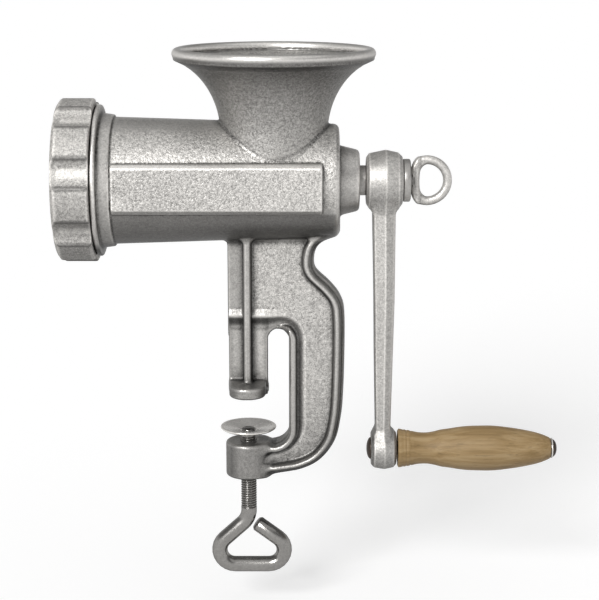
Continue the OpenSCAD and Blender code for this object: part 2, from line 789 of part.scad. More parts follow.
// Corners of the bent handle in X and Z
handle_top = nut_low_z - handle_drop;
handle_low = handle_top - handle_h;
thread_low_z = handle_top + rod_r + 1.5;
handle_path = [[0, thread_low_z + weld], [0, handle_top], [-handle_left, handle_low],
    [handle_right, handle_low], [rod_r - 0.1, handle_top - 0.7 * rod_r]];
handle_bend = [0, 2.5 * rod_r, 2 * rod_r, 2 * rod_r, 0];
pad_neck_z = pad_rim_z - 3.3;
thread_top_z = pad_neck_z + 1.3;
module clamp_screw() {
    color([0.64, 0.64, 0.63]) {
        bent_rod(handle_path, handle_bend, rod_r, 8, 24);
        translate([0, 0, thread_low_z])
            ridged_rod(rod_r, thread_depth, rod_pitch, pad_low_z - 0.2 - thread_low_z);
        translate([0, 0, pad_low_z - 0.3]) cylinder(h = thread_top_z - pad_low_z + 0.3, r = tip_r);
        translate([0, 0, thread_top_z]) cylinder(h = 0.8, r1 = tip_r + 1.2, r2 = tip_r + 0.4);
    }
}

// Clamp pad: a dished steel cup, swivelling on the peened tip of the clamp screw
tip_r = 2.4;
pad_wall = 1.2;
pad_low_z = pad_neck_z - 1.3;
module clamp_pad() {
    neck = 4.4;
    color([0.75, 0.75, 0.73]) difference() {
        rotate_extrude() polygon([[0, pad_low_z], [neck, pad_low_z], [neck, pad_neck_z - 0.4],
            [pad_r - 1.2, pad_rim_z - pad_wall - 0.3], [pad_r, pad_rim_z - 0.7],
            [pad_r - 0.3, pad_rim_z], [pad_r - 1.6, pad_rim_z], [neck + 0.6, pad_neck_z + 1.6],
            [neck + 0.2, pad_neck_z + 1], [0, pad_neck_z + 1]]);
        translate([0, 0, pad_low_z - past]) cylinder(h = 8, r = tip_r + run_fit);
    }
}

grinder_body();
plate_key();
ring_nut();
grinding_plate();
cross_knife();
knife_stud();
feed_screw();
thrust_washer();
crank_arm();
crank_washer();
eye_screw();
grip_spindle();
wooden_grip();
grip_washer();
clamp_screw();
clamp_pad();
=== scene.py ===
"""Looks of a hand crank meat grinder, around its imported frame.

Castings are distance fields in millimetres, so that every web, boss and flange runs into the
next with a real fillet, and each field becomes one mesh. Turned, bent and threaded pieces are
swept or turned outlines. Unless a line says otherwise, sizes are in millimetres.
"""

from math import atan2, ceil, cos, pi, radians, sin, sqrt, tan

import bpy
import numpy as np
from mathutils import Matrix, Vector


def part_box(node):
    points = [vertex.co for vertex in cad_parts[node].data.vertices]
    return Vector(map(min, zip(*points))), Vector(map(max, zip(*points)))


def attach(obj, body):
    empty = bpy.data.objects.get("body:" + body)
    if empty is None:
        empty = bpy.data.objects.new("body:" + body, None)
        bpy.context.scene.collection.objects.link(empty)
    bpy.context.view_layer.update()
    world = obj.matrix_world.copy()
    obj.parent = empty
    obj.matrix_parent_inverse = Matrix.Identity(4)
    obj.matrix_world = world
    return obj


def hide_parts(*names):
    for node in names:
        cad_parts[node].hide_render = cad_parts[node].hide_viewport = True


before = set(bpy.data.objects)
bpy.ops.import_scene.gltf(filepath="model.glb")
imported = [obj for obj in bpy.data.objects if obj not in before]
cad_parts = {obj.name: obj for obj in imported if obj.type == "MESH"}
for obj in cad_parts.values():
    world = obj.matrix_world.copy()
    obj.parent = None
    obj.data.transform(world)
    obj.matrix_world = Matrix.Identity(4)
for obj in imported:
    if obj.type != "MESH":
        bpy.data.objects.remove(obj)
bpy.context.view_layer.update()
MM = 0.001


# ---- Places, read from the frame ----

def box_mm(node):
    """Lowest and highest corner of a CAD node's box."""
    low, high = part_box(node)
    return Vector(low) / MM, Vector(high) / MM


body_low, body_high = box_mm("grinder_body")
ring_low, ring_high = box_mm("ring_nut")
plate_low = box_mm("grinding_plate")[0]
feed_low, feed_high = box_mm("feed_screw")
crank_low, crank_high = box_mm("crank_arm")
washer_low, washer_high = box_mm("crank_washer")
eye_low, eye_high = box_mm("eye_screw")
grip_low, grip_high = box_mm("wooden_grip")
end_washer_low, end_washer_high = box_mm("grip_washer")
spindle_high = box_mm("grip_spindle")[1]
pad_low, pad_high = box_mm("clamp_pad")
screw_low, screw_high = box_mm("clamp_screw")
AXIS_Z = (ring_low.z + ring_high.z) / 2
GRIP_Z = (grip_low.z + grip_high.z) / 2


# ---- Fields: signed distances in millimetres, negative inside ----

def join(a, b, r):
    """Both solids, with a fillet of radius r where they meet."""
    corner_a = np.maximum(r - a, 0)
    corner_b = np.maximum(r - b, 0)
    return np.maximum(r, np.minimum(a, b)) - np.sqrt(corner_a * corner_a + corner_b * corner_b)


def keep(a, b, r):
    """What lies in both solids, with its edge rounded to radius r."""
    corner_a = np.maximum(r + a, 0)
    corner_b = np.maximum(r + b, 0)
    return np.minimum(-r, np.maximum(a, b)) + np.sqrt(corner_a * corner_a + corner_b * corner_b)


def cut(a, b, r):
    """a without b."""
    return keep(a, -b, r)


def length(*parts):
    """Length of a vector with these parts."""
    return np.sqrt(sum(p * p for p in parts))


def slab(v, low, high):
    """Distance to the layer between two planes."""
    return np.abs(v - (low + high) / 2) - (high - low) / 2


def rounded(corners, steps=5):
    """Outline through corners (u, v, radius), each turned on an arc of its radius."""
    points = []
    count = len(corners)
    for i, (u, v, r) in enumerate(corners):
        here = Vector((u, v))
        if r <= 0:
            points.append(here)
            continue
        back = (Vector(corners[i - 1][:2]) - here).normalized()
        on = (Vector(corners[(i + 1) % count][:2]) - here).normalized()
        half = back.angle(on) / 2
        reach = r / tan(half)
        middle = here + (back + on).normalized() * (r / sin(half))
        start = here + back * reach - middle
        end = here + on * reach - middle
        for k in range(steps + 1):
            arm = start.slerp(end, k / steps) if start.angle(end) > 1e-4 else start
            points.append(middle + arm.normalized() * r)
    return [(p.x, p.y) for p in points]


def curve(points, steps):
    """Points on a smooth curve through the given ones."""
    p = [Vector(q) for q in points]
    out = []
    for i in range(len(p) - 1):
        a, b, c, d = p[max(i - 1, 0)], p[i], p[i + 1], p[min(i + 2, len(p) - 1)]
        for k in range(steps):
            t = k / steps
            out.append(0.5 * (2 * b + (c - a) * t + (2 * a - 5 * b + 4 * c - d) * t * t
                              + (3 * b - a - 3 * c + d) * t * t * t))
    out.append(p[-1])
    return [tuple(q) for q in out]


class Outline:
    """Signed distance to a closed flat outline, read from a table made once."""

    def __init__(self, points, step=0.3, room=8):
        p = np.array(points, float)
        self.low = p.min(0) - room
        self.step = step
        self.count = ((p.max(0) + room - self.low) / step).astype(int) + 2
        u = (self.low[0] + step * np.arange(self.count[0]))[:, None]
        v = (self.low[1] + step * np.arange(self.count[1]))[None, :]
        nearest = np.full(self.count, 1e9)
        inside = np.zeros(self.count, bool)
        for a, b in zip(p, np.roll(p, -1, 0)):
            e = b - a
            if e @ e == 0:
                continue
            t = np.clip(((u - a[0]) * e[0] + (v - a[1]) * e[1]) / (e @ e), 0, 1)
            du = u - a[0] - t * e[0]
            dv = v - a[1] - t * e[1]
            nearest = np.minimum(nearest, du * du + dv * dv)
            if e[1] != 0:
                crossed = (a[1] > v) != (b[1] > v)
                inside ^= crossed & (u < a[0] + e[0] * (v - a[1]) / e[1])
        self.table = (np.sqrt(nearest) * np.where(inside, -1, 1)).astype(np.float32)

    def __call__(self, u, v):
        i = np.clip((u - self.low[0]) / self.step, 0, self.count[0] - 1.001)
        j = np.clip((v - self.low[1]) / self.step, 0, self.count[1] - 1.001)
        i0 = i.astype(np.int32)
        j0 = j.astype(np.int32)
        s = i - i0
        t = j - j0
        flat = self.table.ravel()
        at = i0 * self.count[1] + j0
        low = flat[at] * (1 - t) + flat[at + 1] * t
        at = at + self.count[1]
        high = flat[at] * (1 - t) + flat[at + 1] * t
        return low * (1 - s) + high * s


BLOCK = 8
BATCH = 400
SLOPE_REACH = 0.7
EDGE_GAIN = 1.2


def sampled(field, low, high, step):
    """The field on a grid, worked out only in the blocks that its surface may cross."""
    blocks = [int(ceil((b - a) / step / BLOCK)) for a, b in zip(low, high)]
    middle = [a + step * (BLOCK * np.arange(n) + (BLOCK - 1) / 2) for a, n in zip(low, blocks)]
    mx, my, mz = np.meshgrid(*middle, indexing="ij")
    rough = field(mx.ravel(), my.ravel(), mz.ravel()).reshape(mx.shape)
    # A block's corners lie 0.87 of its side from its middle.
    reach = BLOCK * step * 0.95
    grid = np.repeat(np.repeat(np.repeat(rough, BLOCK, 0), BLOCK, 1), BLOCK, 2).astype(np.float32)
    near = np.argwhere(np.abs(rough) < reach)
    n = np.arange(BLOCK)
    for k in range(0, len(near), BATCH):
        some = near[k:k + BATCH]
        ix = (some[:, 0, None] * BLOCK + n)[:, :, None, None]
        iy = (some[:, 1, None] * BLOCK + n)[:, None, :, None]
        iz = (some[:, 2, None] * BLOCK + n)[:, None, None, :]
        shape = (len(some), BLOCK, BLOCK, BLOCK)
        x = np.broadcast_to(low[0] + step * ix, shape).ravel()
        y = np.broadcast_to(low[1] + step * iy, shape).ravel()
        z = np.broadcast_to(low[2] + step * iz, shape).ravel()
        grid[ix, iy, iz] = field(x, y, z).reshape(shape)
    return grid


def surface_net(grid):
    """Vertices, in grid steps, and quads of the surface where the grid changes sign."""
    inside = grid < 0
    cells = tuple(n - 1 for n in grid.shape)
    total = np.zeros(cells, np.int8)
    corners = [(i, j, k) for i in (0, 1) for j in (0, 1) for k in (0, 1)]
    for i, j, k in corners:
        total += inside[i:i + cells[0], j:j + cells[1], k:k + cells[2]]
    mixed = np.argwhere((total > 0) & (total < 8))
    number = np.full(cells, -1, np.int32)
    number[tuple(mixed.T)] = np.arange(len(mixed))
    value = {c: grid[tuple((mixed + c).T)] for c in corners}
    place = np.zeros((len(mixed), 3))
    crossings = np.zeros(len(mixed))
    for axis in range(3):
        for c in corners:
            if c[axis]:
                continue
            d = tuple(v + (n == axis) for n, v in enumerate(c))
            a, b = value[c], value[d]
            crossed = (a < 0) != (b < 0)
            t = np.where(crossed, a / np.where(crossed, a - b, 1), 0)
            at = np.array(c) + t[:, None] * (np.arange(3) == axis)
            place += np.where(crossed[:, None], at, 0)
            crossings += crossed
    place = mixed + place / crossings[:, None]
    faces = []
    for axis in range(3):
        u, v = (axis + 1) % 3, (axis + 2) % 3
        first = np.moveaxis(inside, (axis, u, v), (0, 1, 2))
        change = first[:-1, 1:-1, 1:-1] != first[1:, 1:-1, 1:-1]
        at = np.argwhere(change)
        leaving = first[at[:, 0], at[:, 1] + 1, at[:, 2] + 1]
        turned = np.moveaxis(number, (axis, u, v), (0, 1, 2))
        quad = np.stack([turned[at[:, 0], at[:, 1] + i, at[:, 2] + j]
                         for i, j in ((0, 0), (1, 0), (1, 1), (0, 1))], 1)
        quad[~leaving] = quad[~leaving][:, ::-1]
        faces.append(quad)
    return place, np.concatenate(faces)


def new_piece(name, points, faces, body, slot, replaces, material, marks=None, crease=40):
    """A mesh piece from points in millimetres, on its body and standing for CAD nodes."""
    mesh = bpy.data.meshes.new(name)
    points = np.asarray(points, float) * MM
    if isinstance(faces, np.ndarray):
        faces = faces.tolist()
    mesh.from_pydata(points, [], faces)
    for mark, values in (marks or {}).items():
        layer = mesh.attributes.new(mark, "FLOAT", "POINT")
        layer.data.foreach_set("value", np.asarray(values, np.float32))
    mesh.update()
    mesh.shade_smooth()
    if crease:
        mesh.set_sharp_from_angle(angle=radians(crease))
    mesh.materials.append(material)
    piece = bpy.data.objects.new(name, mesh)
    bpy.context.scene.collection.objects.link(piece)
    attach(piece, body)
    if replaces:
        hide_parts(*replaces)
    return piece


def field_piece(name, field, low, high, step, body, slot, replaces, material, marks=None):
    """Meshes a field, moves each vertex on to its surface and marks edges and hollows."""
    place, faces = surface_net(sampled(field, low, high, step))
    p = place * step + np.array(low, float)
    shifted = [field(*(p + SLOPE_REACH * np.array(d)).T)
               for d in ((1, 0, 0), (-1, 0, 0), (0, 1, 0), (0, -1, 0), (0, 0, 1), (0, 0, -1))]
    here = field(*p.T)
    slope = np.stack([shifted[i] - shifted[i + 1] for i in (0, 2, 4)], 1)
    slope /= np.maximum(np.linalg.norm(slope, axis=1), 1e-6)[:, None]
    bend = (sum(shifted) - 6 * here) / (SLOPE_REACH * SLOPE_REACH)
    p = p - slope * np.clip(here, -0.6 * step, 0.6 * step)[:, None]
    # The edge and up marks drive the materials' painted highlights on edges and painted shade in
    # hollows and on downward faces.
    found = {"edge": np.clip(bend * EDGE_GAIN, -1, 1), "up": slope[:, 2]}
    if marks:
        found.update(marks(*p.T, slope))
    return new_piece(name, p, faces, body, slot, replaces, material, found, crease=0)


# ---- Casting ----

# Outlines that are turned start beyond their axis, so that it isn't an edge.
UNDER_AXIS = -12

# The barrel, along x: thread, flange and collar at its mouth, a wall and a boss at its rear.
MOUTH_X = body_low.x
MOUTH_R = 34.8
MOUTH_PITCH = 3
THREAD_DEPTH = 1.2
FLANGE_X = MOUTH_X + 14.7
FLANGE_R = 37.3
COLLAR_X = FLANGE_X + 2.3
COLLAR_END = COLLAR_X + 6.2
BARREL_END = MOUTH_X + 133.5
BARREL_FRONT_R = 31.4
BARREL_REAR_R = 27.8
REAR_BOSS_END = BARREL_END + 10
PLATE_OPEN_X = MOUTH_X - 9
PLATE_SEAT = plate_low.x + 6.1
PLATE_BORE_R = 31.1
KNIFE_BORE_END = PLATE_SEAT + 10
KNIFE_BORE_R = 27.4
BORE_R = 24.5
BORE_END = BARREL_END - 3
JOURNAL_BORE_R = 7.45
JOURNAL_OPEN_X = BARREL_END + 19

# The flat band on both sides of the barrel. Its heights are from the axis, and BAND_REACH is the
# height at which the round barrel starts again.
BAND_START = COLLAR_END + 0.5
BAND_END = BARREL_END - 8.6
BAND_SIDE = 31.8
BAND_LOW = -12.4
BAND_TOP = 11.9
BAND_REACH = 13.2

# The hopper: a neck, a flare and a beaded rim.
HOPPER_X = 13.5
HOPPER_Z = AXIS_Z + 62.4
HOPPER_OPEN_Z = HOPPER_Z + 12
RIM_R = 47.1
LIP_R = RIM_R - 2.7
BEAD_R = 2.6
NECK_R = 26.3
WALL = 3
FLARE_LOW = AXIS_Z + 23
FLARE_TOP = HOPPER_Z - 3
FLARE_REACH = RIM_R + 11 - NECK_R
FLARE_RISE = HOPPER_Z - AXIS_Z - 24.4

# The clamp frame: the post with its rib and jaw foot, the slot, the bowed back and the nut boss
# under the throat that takes the table. Thicknesses are half of the whole.
SLOT_RIGHT = 21.2
SLOT_TOP = 32.5
SLOT_R = 5.55
SLOT_X = SLOT_RIGHT - SLOT_R
POST_LEFT = -9.5
POST_RIGHT = 10.1
POST_T = 3
PANEL_Z = 39.4
PANEL_STEP = 1.6
WEB_T = 4.5
EDGE_FLANGE_T = 9.5
EDGE_FLANGE_W = 5
SLOT_FLANGE_W = 1.2
SLOT_FLANGE_T = 2.2
FLANGES_START_X = 6
RIB_T = 1.8
RIB_REACH = 11
FOOT_R = 9.1
FOOT_SIDE = 12.5
FOOT_H = 5.8
WAIST_X = SLOT_RIGHT + 12.4
BACK_X = SLOT_RIGHT + 26.9
THROAT_Z = -28
NUT_R = 11.5
NUT_BORE_R = 4.1
NUT_TOP = -26.8
NUT_LOW = -44.8
FAR_X = -40


def flare(wall, top, steps=16):
    """Half outline of the hopper's flare, a quarter of an ellipse, as (radius, height)."""
    out = []
    for i in range(steps + 1):
        z = FLARE_LOW + (top - FLARE_LOW) * i / steps
        rise = (z - FLARE_LOW) / (FLARE_RISE + wall)
        out.append((NECK_R + FLARE_REACH - (FLARE_REACH + wall) * sqrt(1 - rise * rise), z))
    return out


barrel_form = Outline(rounded([
    (MOUTH_X, UNDER_AXIS, 0), (MOUTH_X, MOUTH_R, 0.6), (FLANGE_X, MOUTH_R, 0.3),
    (FLANGE_X, FLANGE_R, 0.8), (COLLAR_X, FLANGE_R, 0.8), (COLLAR_X, 33.3, 1.2),
    (COLLAR_END, 32.4, 0.6), (COLLAR_END, BARREL_FRONT_R - 0.1, 0.4),
    (BARREL_END, BARREL_REAR_R, 3), (BARREL_END, 17.4, 0.7), (REAR_BOSS_END, 14.9, 2.2),
    (REAR_BOSS_END, UNDER_AXIS, 0)]))
barrel_bore = Outline([
    (PLATE_OPEN_X, UNDER_AXIS), (PLATE_OPEN_X, PLATE_BORE_R), (PLATE_SEAT, PLATE_BORE_R),
    (PLATE_SEAT, KNIFE_BORE_R), (KNIFE_BORE_END, KNIFE_BORE_R), (KNIFE_BORE_END, BORE_R),
    (BORE_END, BORE_R), (BORE_END, JOURNAL_BORE_R), (JOURNAL_OPEN_X, JOURNAL_BORE_R),
    (JOURNAL_OPEN_X, UNDER_AXIS)])
band_form = Outline(rounded([
    (-5, BAND_LOW, 0), (29.6, BAND_LOW, 0.5), (BAND_SIDE, -10.2, 0.8), (BAND_SIDE, 10, 0.8),
    (29.8, BAND_TOP, 0.4), (-5, BAND_TOP, 0)]))
hopper_form = Outline(
    [(UNDER_AXIS, AXIS_Z - 6), (NECK_R, AXIS_Z - 6)] + flare(0, FLARE_TOP)
    + [(RIM_R + 2, HOPPER_Z - 1.6), (RIM_R, HOPPER_Z), (UNDER_AXIS, HOPPER_Z)])
hopper_bore = Outline(
    [(UNDER_AXIS, AXIS_Z), (NECK_R - WALL, AXIS_Z)] + flare(WALL, HOPPER_Z - 1.4)
    + [(LIP_R, HOPPER_Z - 0.6), (LIP_R, HOPPER_OPEN_Z), (UNDER_AXIS, HOPPER_OPEN_Z)])

frame_edge = curve([
    (BARREL_END - 0.5, AXIS_Z - BARREL_REAR_R + 4), (WAIST_X + 7, AXIS_Z - 27.6),
    (WAIST_X + 1.2, AXIS_Z - 32), (WAIST_X - 0.9, AXIS_Z - 38), (WAIST_X + 0.2, AXIS_Z - 44.4),
    (BACK_X - 7.2, AXIS_Z - 51.4), (BACK_X - 2.2, AXIS_Z - 58), (BACK_X - 0.2, AXIS_Z - 66),
    (BACK_X, AXIS_Z - 86), (BACK_X - 0.6, THROAT_Z + 26), (BACK_X - 1.7, THROAT_Z + 14),
    (BACK_X - 4.6, THROAT_Z + 2), (BACK_X - 11.6, THROAT_Z - 7.5),
    (BACK_X - 21, THROAT_Z - 12.6), (BACK_X - 32, THROAT_Z - 14.6), (4, NUT_LOW + 0.8)], 5)
edge_form = Outline([(frame_edge[0][0], AXIS_Z)] + frame_edge
                    + [(FAR_X, frame_edge[-1][1]), (FAR_X, AXIS_Z)])
throat_form = Outline(rounded([
    (FAR_X, 0, 0), (FAR_X, THROAT_Z, 0), (SLOT_RIGHT, THROAT_Z, 9),
    (SLOT_RIGHT, SLOT_TOP, SLOT_R - 0.01), (POST_RIGHT, SLOT_TOP, SLOT_R - 0.01),
    (POST_RIGHT, 0, 0)], 8))


def off_axis(y, z):
    """Distance from the barrel's axis."""
    return length(y, z - AXIS_Z)


def helix(x, y, z, pitch):
    """0 to 1 and back, once in each pitch of a thread on the barrel's axis."""
    turn = np.arctan2(z - AXIS_Z, y) / (2 * pi)
    return np.abs((x / pitch - turn) % 1 - 0.5) * 2


def mouth_thread(x, y, z, radius):
    """Thread that the ring nut turns on."""
    ridge = np.clip((0.85 - helix(x, y, z, MOUTH_PITCH)) / 0.5, 0, 1)
    crest = MOUTH_R + THREAD_DEPTH * ridge
    return keep((radius - crest) * 0.8, slab(x, MOUTH_X + 0.4, MOUTH_X + 13), 0.3)


def frame_web(x, z, side, edge, gap):
    """Web, which is thicker away from its edges, with a sloped step, and the thin post."""
    flat = np.maximum(np.maximum(edge, -gap), z - AXIS_Z)
    flat = np.maximum(flat, np.minimum(POST_LEFT - x, z))
    flat = np.maximum(flat, np.minimum(-x, -z))
    step_in = np.interp(z, [THROAT_Z - 6, THROAT_Z + 10], [5, PANEL_Z - SLOT_TOP])
    thin = np.where((x < SLOT_X) & (z > -10), PANEL_Z - z, step_in - gap)
    ramp = np.clip(1 - (z - PANEL_Z) / 3.8, 0, 1) * np.interp(x, [9, 21], [1, 0])
    face = side - WEB_T - PANEL_STEP * ramp
    web = keep(np.maximum(flat, 0.5 * thin + 0.87 * face), face, 0.6)
    post = keep(flat, side - POST_T, 0.8)
    return join(web, post, 1.2)


def frame_flanges(x, z, side, edge, gap):
    """Rim along the bowed back, and the narrower one round the slot and the throat."""
    rise = side + 0.3 * np.maximum(14 - x, 0) * (z < THROAT_Z + 20)
    outer = np.maximum(edge + 0.2 * side, -edge - EDGE_FLANGE_W)
    outer = keep(outer, rise - EDGE_FLANGE_T, 2.0)
    outer = np.maximum(outer, FLANGES_START_X - x)
    swell = np.where(z > 20, np.clip((x - SLOT_X) / SLOT_R, 0, 1), 1)
    width = SLOT_FLANGE_W + 2 * swell
    top = rise - SLOT_FLANGE_T - (EDGE_FLANGE_T - SLOT_FLANGE_T) * swell
    inner = keep(np.abs(gap - width / 2) - width / 2, top, 0.45 * width)
    inner = np.maximum(inner, np.minimum(SLOT_X - x, z - 2))
    inner = np.maximum(inner, FLANGES_START_X - x)
    return outer, inner


def clamp_frame(x, y, z, side):
    """Web, flanges, post, rib, jaw foot and nut boss."""
    edge = edge_form(x, z)
    gap = throat_form(x, z)
    outer, inner = frame_flanges(x, z, side, edge, gap)
    solid = join(frame_web(x, z, side, edge, gap), outer, 1.8)
    solid = join(solid, inner, 1.4)
    rib = keep(np.abs(x) - RIB_T, side - RIB_REACH, 1.6)
    rib = np.maximum(rib, np.maximum(1 - z, z - AXIS_Z + 20))
    solid = join(solid, rib, 1.6)
    foot = length(x, np.maximum(side - FOOT_SIDE, 0)) - FOOT_R
    foot = keep(foot, slab(z, 0, FOOT_H), 1.3)
    solid = join(solid, foot, 1.6)
    boss = keep(length(x, y) - NUT_R, slab(z, NUT_LOW, NUT_TOP), 1.3)
    return join(solid, boss, 3.5)


def casting(x, y, z):
    """Barrel, hopper and clamp frame in one, with their bores."""
    side = np.abs(y)
    radius = off_axis(y, z)
    out = length(x - HOPPER_X, y)
    barrel = barrel_form(x, radius)
    band = keep(band_form(side, z - AXIS_Z), slab(x, BAND_START, BAND_END), 0.8)
    barrel = join(barrel, band, 0.5)
    barrel = np.minimum(barrel, mouth_thread(x, y, z, radius))
    solid = join(clamp_frame(x, y, z, side), barrel, 3)
    bead = length(out - RIM_R, z - HOPPER_Z) - BEAD_R
    hopper = join(hopper_form(out, z), bead, 0.4)
    solid = join(solid, hopper, 1.1)
    solid = cut(solid, barrel_bore(x, radius), 0.4)
    solid = cut(solid, hopper_bore(out, z), 0.5)
    return cut(solid, np.maximum(length(x, y) - NUT_BORE_R, z - THROAT_Z - 12), 0.5)


def soft(value, low, high):
    """0 below low, 1 above high and a straight rise between."""
    return np.clip((value - low) / (high - low), 0, 1)


def frame_painted_light(x, z, side, slope, post, left):
    """Painted light and shade on the clamp frame: darker downwards, on faces turned sideways, up
    or down, on its flanges' sides and on the post's left part, with lighter and darker strips on
    the post.
    """
    fall = np.interp(z, [NUT_LOW, THROAT_Z, 40], [0.62, 0.66, 0.93])
    sideways = 1 - 0.5 * soft(np.abs(slope[:, 0]), 0.4, 0.75)
    top = 1 - 0.4 * soft(slope[:, 2], 0.5, 0.8)
    lip = 1 - 0.72 * soft(-slope[:, 2], 0.2, 0.5)
    flange = 1 - 0.24 * soft(side, 7, 7.8)
    dished = 1 + post * (0.25 - 0.6 * soft(np.abs(np.abs(x) - 5.8), 1, 3.4))
    return fall * sideways * top * lip * dished * flange * (1 - 0.2 * left)


def casting_marks(x, y, z, slope):
    """Where the casting is left gritty, and the painted light and shade on its tin."""
    side = np.abs(y)
    radius = off_axis(y, z)
    out = length(x - HOPPER_X, y)
    above = z - AXIS_Z
    from_axis = (slope[:, 1] * y + slope[:, 2] * above) / np.maximum(radius, 1)
    facing = np.abs(slope[:, 1])

    # Regions, each 1 inside and 0 outside, with soft borders where the metal has them.
    between = soft(x, COLLAR_END - 0.5, COLLAR_END + 0.5)
    between = between * soft(-x, -BARREL_END, -BARREL_END + 2)
    hopper = soft(-from_axis, -0.95, -0.85) * (above > BAND_REACH)
    hopper = hopper * (z < HOPPER_Z - 2.2) * (out > NECK_R - 1.5)
    bead = soft(2.9 - length(out - RIM_R, z - HOPPER_Z), 0, 0.2)
    under_bead = soft(HOPPER_Z - z, 1.6, 2.4) * soft(z, HOPPER_Z - 6, HOPPER_Z - 4)
    under_bead = under_bead * (out > RIM_R - 3.5) * (from_axis < 0.9)
    round_part = between * soft(from_axis, 0.86, 0.95) * (radius > BORE_R + 1) * (side < 33)
    flank = round_part * soft(above, -10.9, -10.3) * soft(-above, -28, -25)
    on_band = between * (side > 30.5) * (np.abs(above) < BAND_REACH)
    bevel = on_band * soft(slope[:, 2], 0.35, 0.6)
    low_frame = soft(-above, 27, 31) * (radius > 30)
    web = low_frame * (z > NUT_LOW + 4) * soft(facing, 0.9, 0.98)
    web = web * soft(-side, -6.4, -4.9) * (side > 4)
    left = low_frame * (z > 6) * soft(-x, -0.5, 0.5) * (side < 10)
    post = low_frame * (z > 5.5) * (z < PANEL_Z - 1) * (x < POST_RIGHT + 0.5) * (side < 6)

    grit = np.full_like(x, 0.3)
    grit = np.maximum(grit, flank)
    grit = np.maximum(grit, on_band * soft(facing, 0.8, 0.95))
    grit = np.maximum(grit, web * (1 - 0.6 * left))
    grit = np.maximum(grit, hopper * 0.9)
    grit = grit * (1 - 0.8 * bevel) * (1 - 0.9 * bead)

    # Painted shade: darker hopper, darker barrel below the band and a little darker on its top.
    tone = 1 - 0.26 * hopper
    tone *= 1 - 0.48 * round_part * soft(-above, 12.4, 13.4)
    tone *= 1 - 0.12 * round_part * soft(above, 24, 29)
    # Painted highlight on the band's upward bevel.
    tone *= 1 + 0.55 * bevel
    # Painted shadow under the bead, and painted shade on the bead's top and underside.
    tone *= 1 - 0.5 * under_bead
    bead_top = soft(slope[:, 2], 0.6, 0.9)
    bead_low = soft(-slope[:, 2], 0.15, 0.6)
    tone *= 1 - bead * (0.65 * bead_low + 0.3 * bead_top)
    # Painted light and shade of the clamp frame.
    tone *= 1 + low_frame * (frame_painted_light(x, z, side, slope, post, left) - 1)
    return {"grit": grit, "tone": tone}


# ---- Crank arm, eye screw, feed screw and ring nut ----

# The crank: a hub on the feed screw's square, an arm of six-sided section, and the grip's boss.
HUB_X = crank_low.x
HUB_END = HUB_X + 17.9
BOSS_X = HUB_X + 3.6
SQUARE_HOLE = 5.35
SPINDLE_HOLE_R = 3.52
ARM_SLOPE = 0.3
ARM_HEIGHTS = [GRIP_Z, GRIP_Z + 5, AXIS_Z - 87, AXIS_Z - 59, AXIS_Z - 8, AXIS_Z]
ARM_LEFT = [HUB_X + 5.7, HUB_X + 5.7, HUB_X + 4.7, HUB_X + 4.3, HUB_X + 3.1, HUB_X + 3.1]
ARM_RIGHT = [HUB_X + 13.1, HUB_X + 13.1, HUB_X + 14.0, HUB_X + 14.5, HUB_X + 14.5, HUB_X + 14.5]
ARM_WIDTH = [13, 13, 15, 17, 19, 19]
hub_form = Outline(rounded([
    (HUB_X, UNDER_AXIS, 0), (HUB_X, 11.6, 0.5), (HUB_X + 1.4, 13.4, 0.8),
    (HUB_X + 9.6, 15.1, 1.2), (HUB_X + 15.9, 13.7, 1), (HUB_END, 11.7, 0.6),
    (HUB_END, UNDER_AXIS, 0)]), 0.15)
boss_form = Outline(rounded([
    (BOSS_X, -9, 0), (BOSS_X, 8.2, 0.5), (BOSS_X + 1.6, 9.9, 0.9), (BOSS_X + 6.8, 10.8, 1),
    (BOSS_X + 11.4, 9.8, 0.9), (BOSS_X + 12.8, 8.2, 0.5), (BOSS_X + 12.8, -9, 0)]), 0.15)


def crank(x, y, z):
    """Crank arm with its hub and boss."""
    side = np.abs(y)
    left = np.interp(z, ARM_HEIGHTS, ARM_LEFT)
    right = np.interp(z, ARM_HEIGHTS, ARM_RIGHT)
    width = np.interp(z, ARM_HEIGHTS, ARM_WIDTH)
    middle = left * 0.45 + right * 0.55
    faces = side - width / 2 + ARM_SLOPE * np.abs(x - middle)
    faces = faces / sqrt(1 + ARM_SLOPE * ARM_SLOPE)
    bar = keep(np.maximum(left - x, x - right), faces, 1.1)
    bar = np.maximum(bar, slab(z, GRIP_Z, AXIS_Z))
    hub = hub_form(x, off_axis(y, z))
    boss = boss_form(x, length(y, z - GRIP_Z))
    solid = join(join(bar, hub, 3.6), boss, 3)
    square = np.maximum(side - SQUARE_HOLE, np.abs(z - AXIS_Z) - SQUARE_HOLE)
    solid = cut(solid, square, 0.3)
    return cut(solid, length(y, z - GRIP_Z) - SPINDLE_HOLE_R, 0.3)


# The eye screw: an M8 shank, a root and a ring of round bar, seen from the side.
EYE_X = washer_high.x + 0.3
EYE_CENTRE = EYE_X + 7.9
EYE_R = 12.4
EYE_BAR_R = 2.2
ROOT_END = EYE_X + 3.9
EYE_PITCH = 1.25


def eye(x, y, z):
    """Eye screw with its thread."""
    radius = length(x - EYE_CENTRE, z - AXIS_Z)
    outer = keep(radius - EYE_R, EYE_X - x, 4.4)
    hole = keep(radius - EYE_R + 2 * EYE_BAR_R, ROOT_END - x, 4.6)
    flat = np.maximum(outer, -hole)
    bar = length(np.maximum(flat + EYE_BAR_R, 0), y) - EYE_BAR_R
    root = keep(keep(outer, x - ROOT_END, 1.2), np.abs(y) - 3.1, 1.4)
    solid = join(bar, root, 1.2)
    thread = off_axis(y, z) - 3.35 - 0.65 * helix(x, y, z, EYE_PITCH)
    shank = keep(thread * 0.7, slab(x, eye_low.x, EYE_X + 1), 0.4)
    return np.minimum(solid, shank)


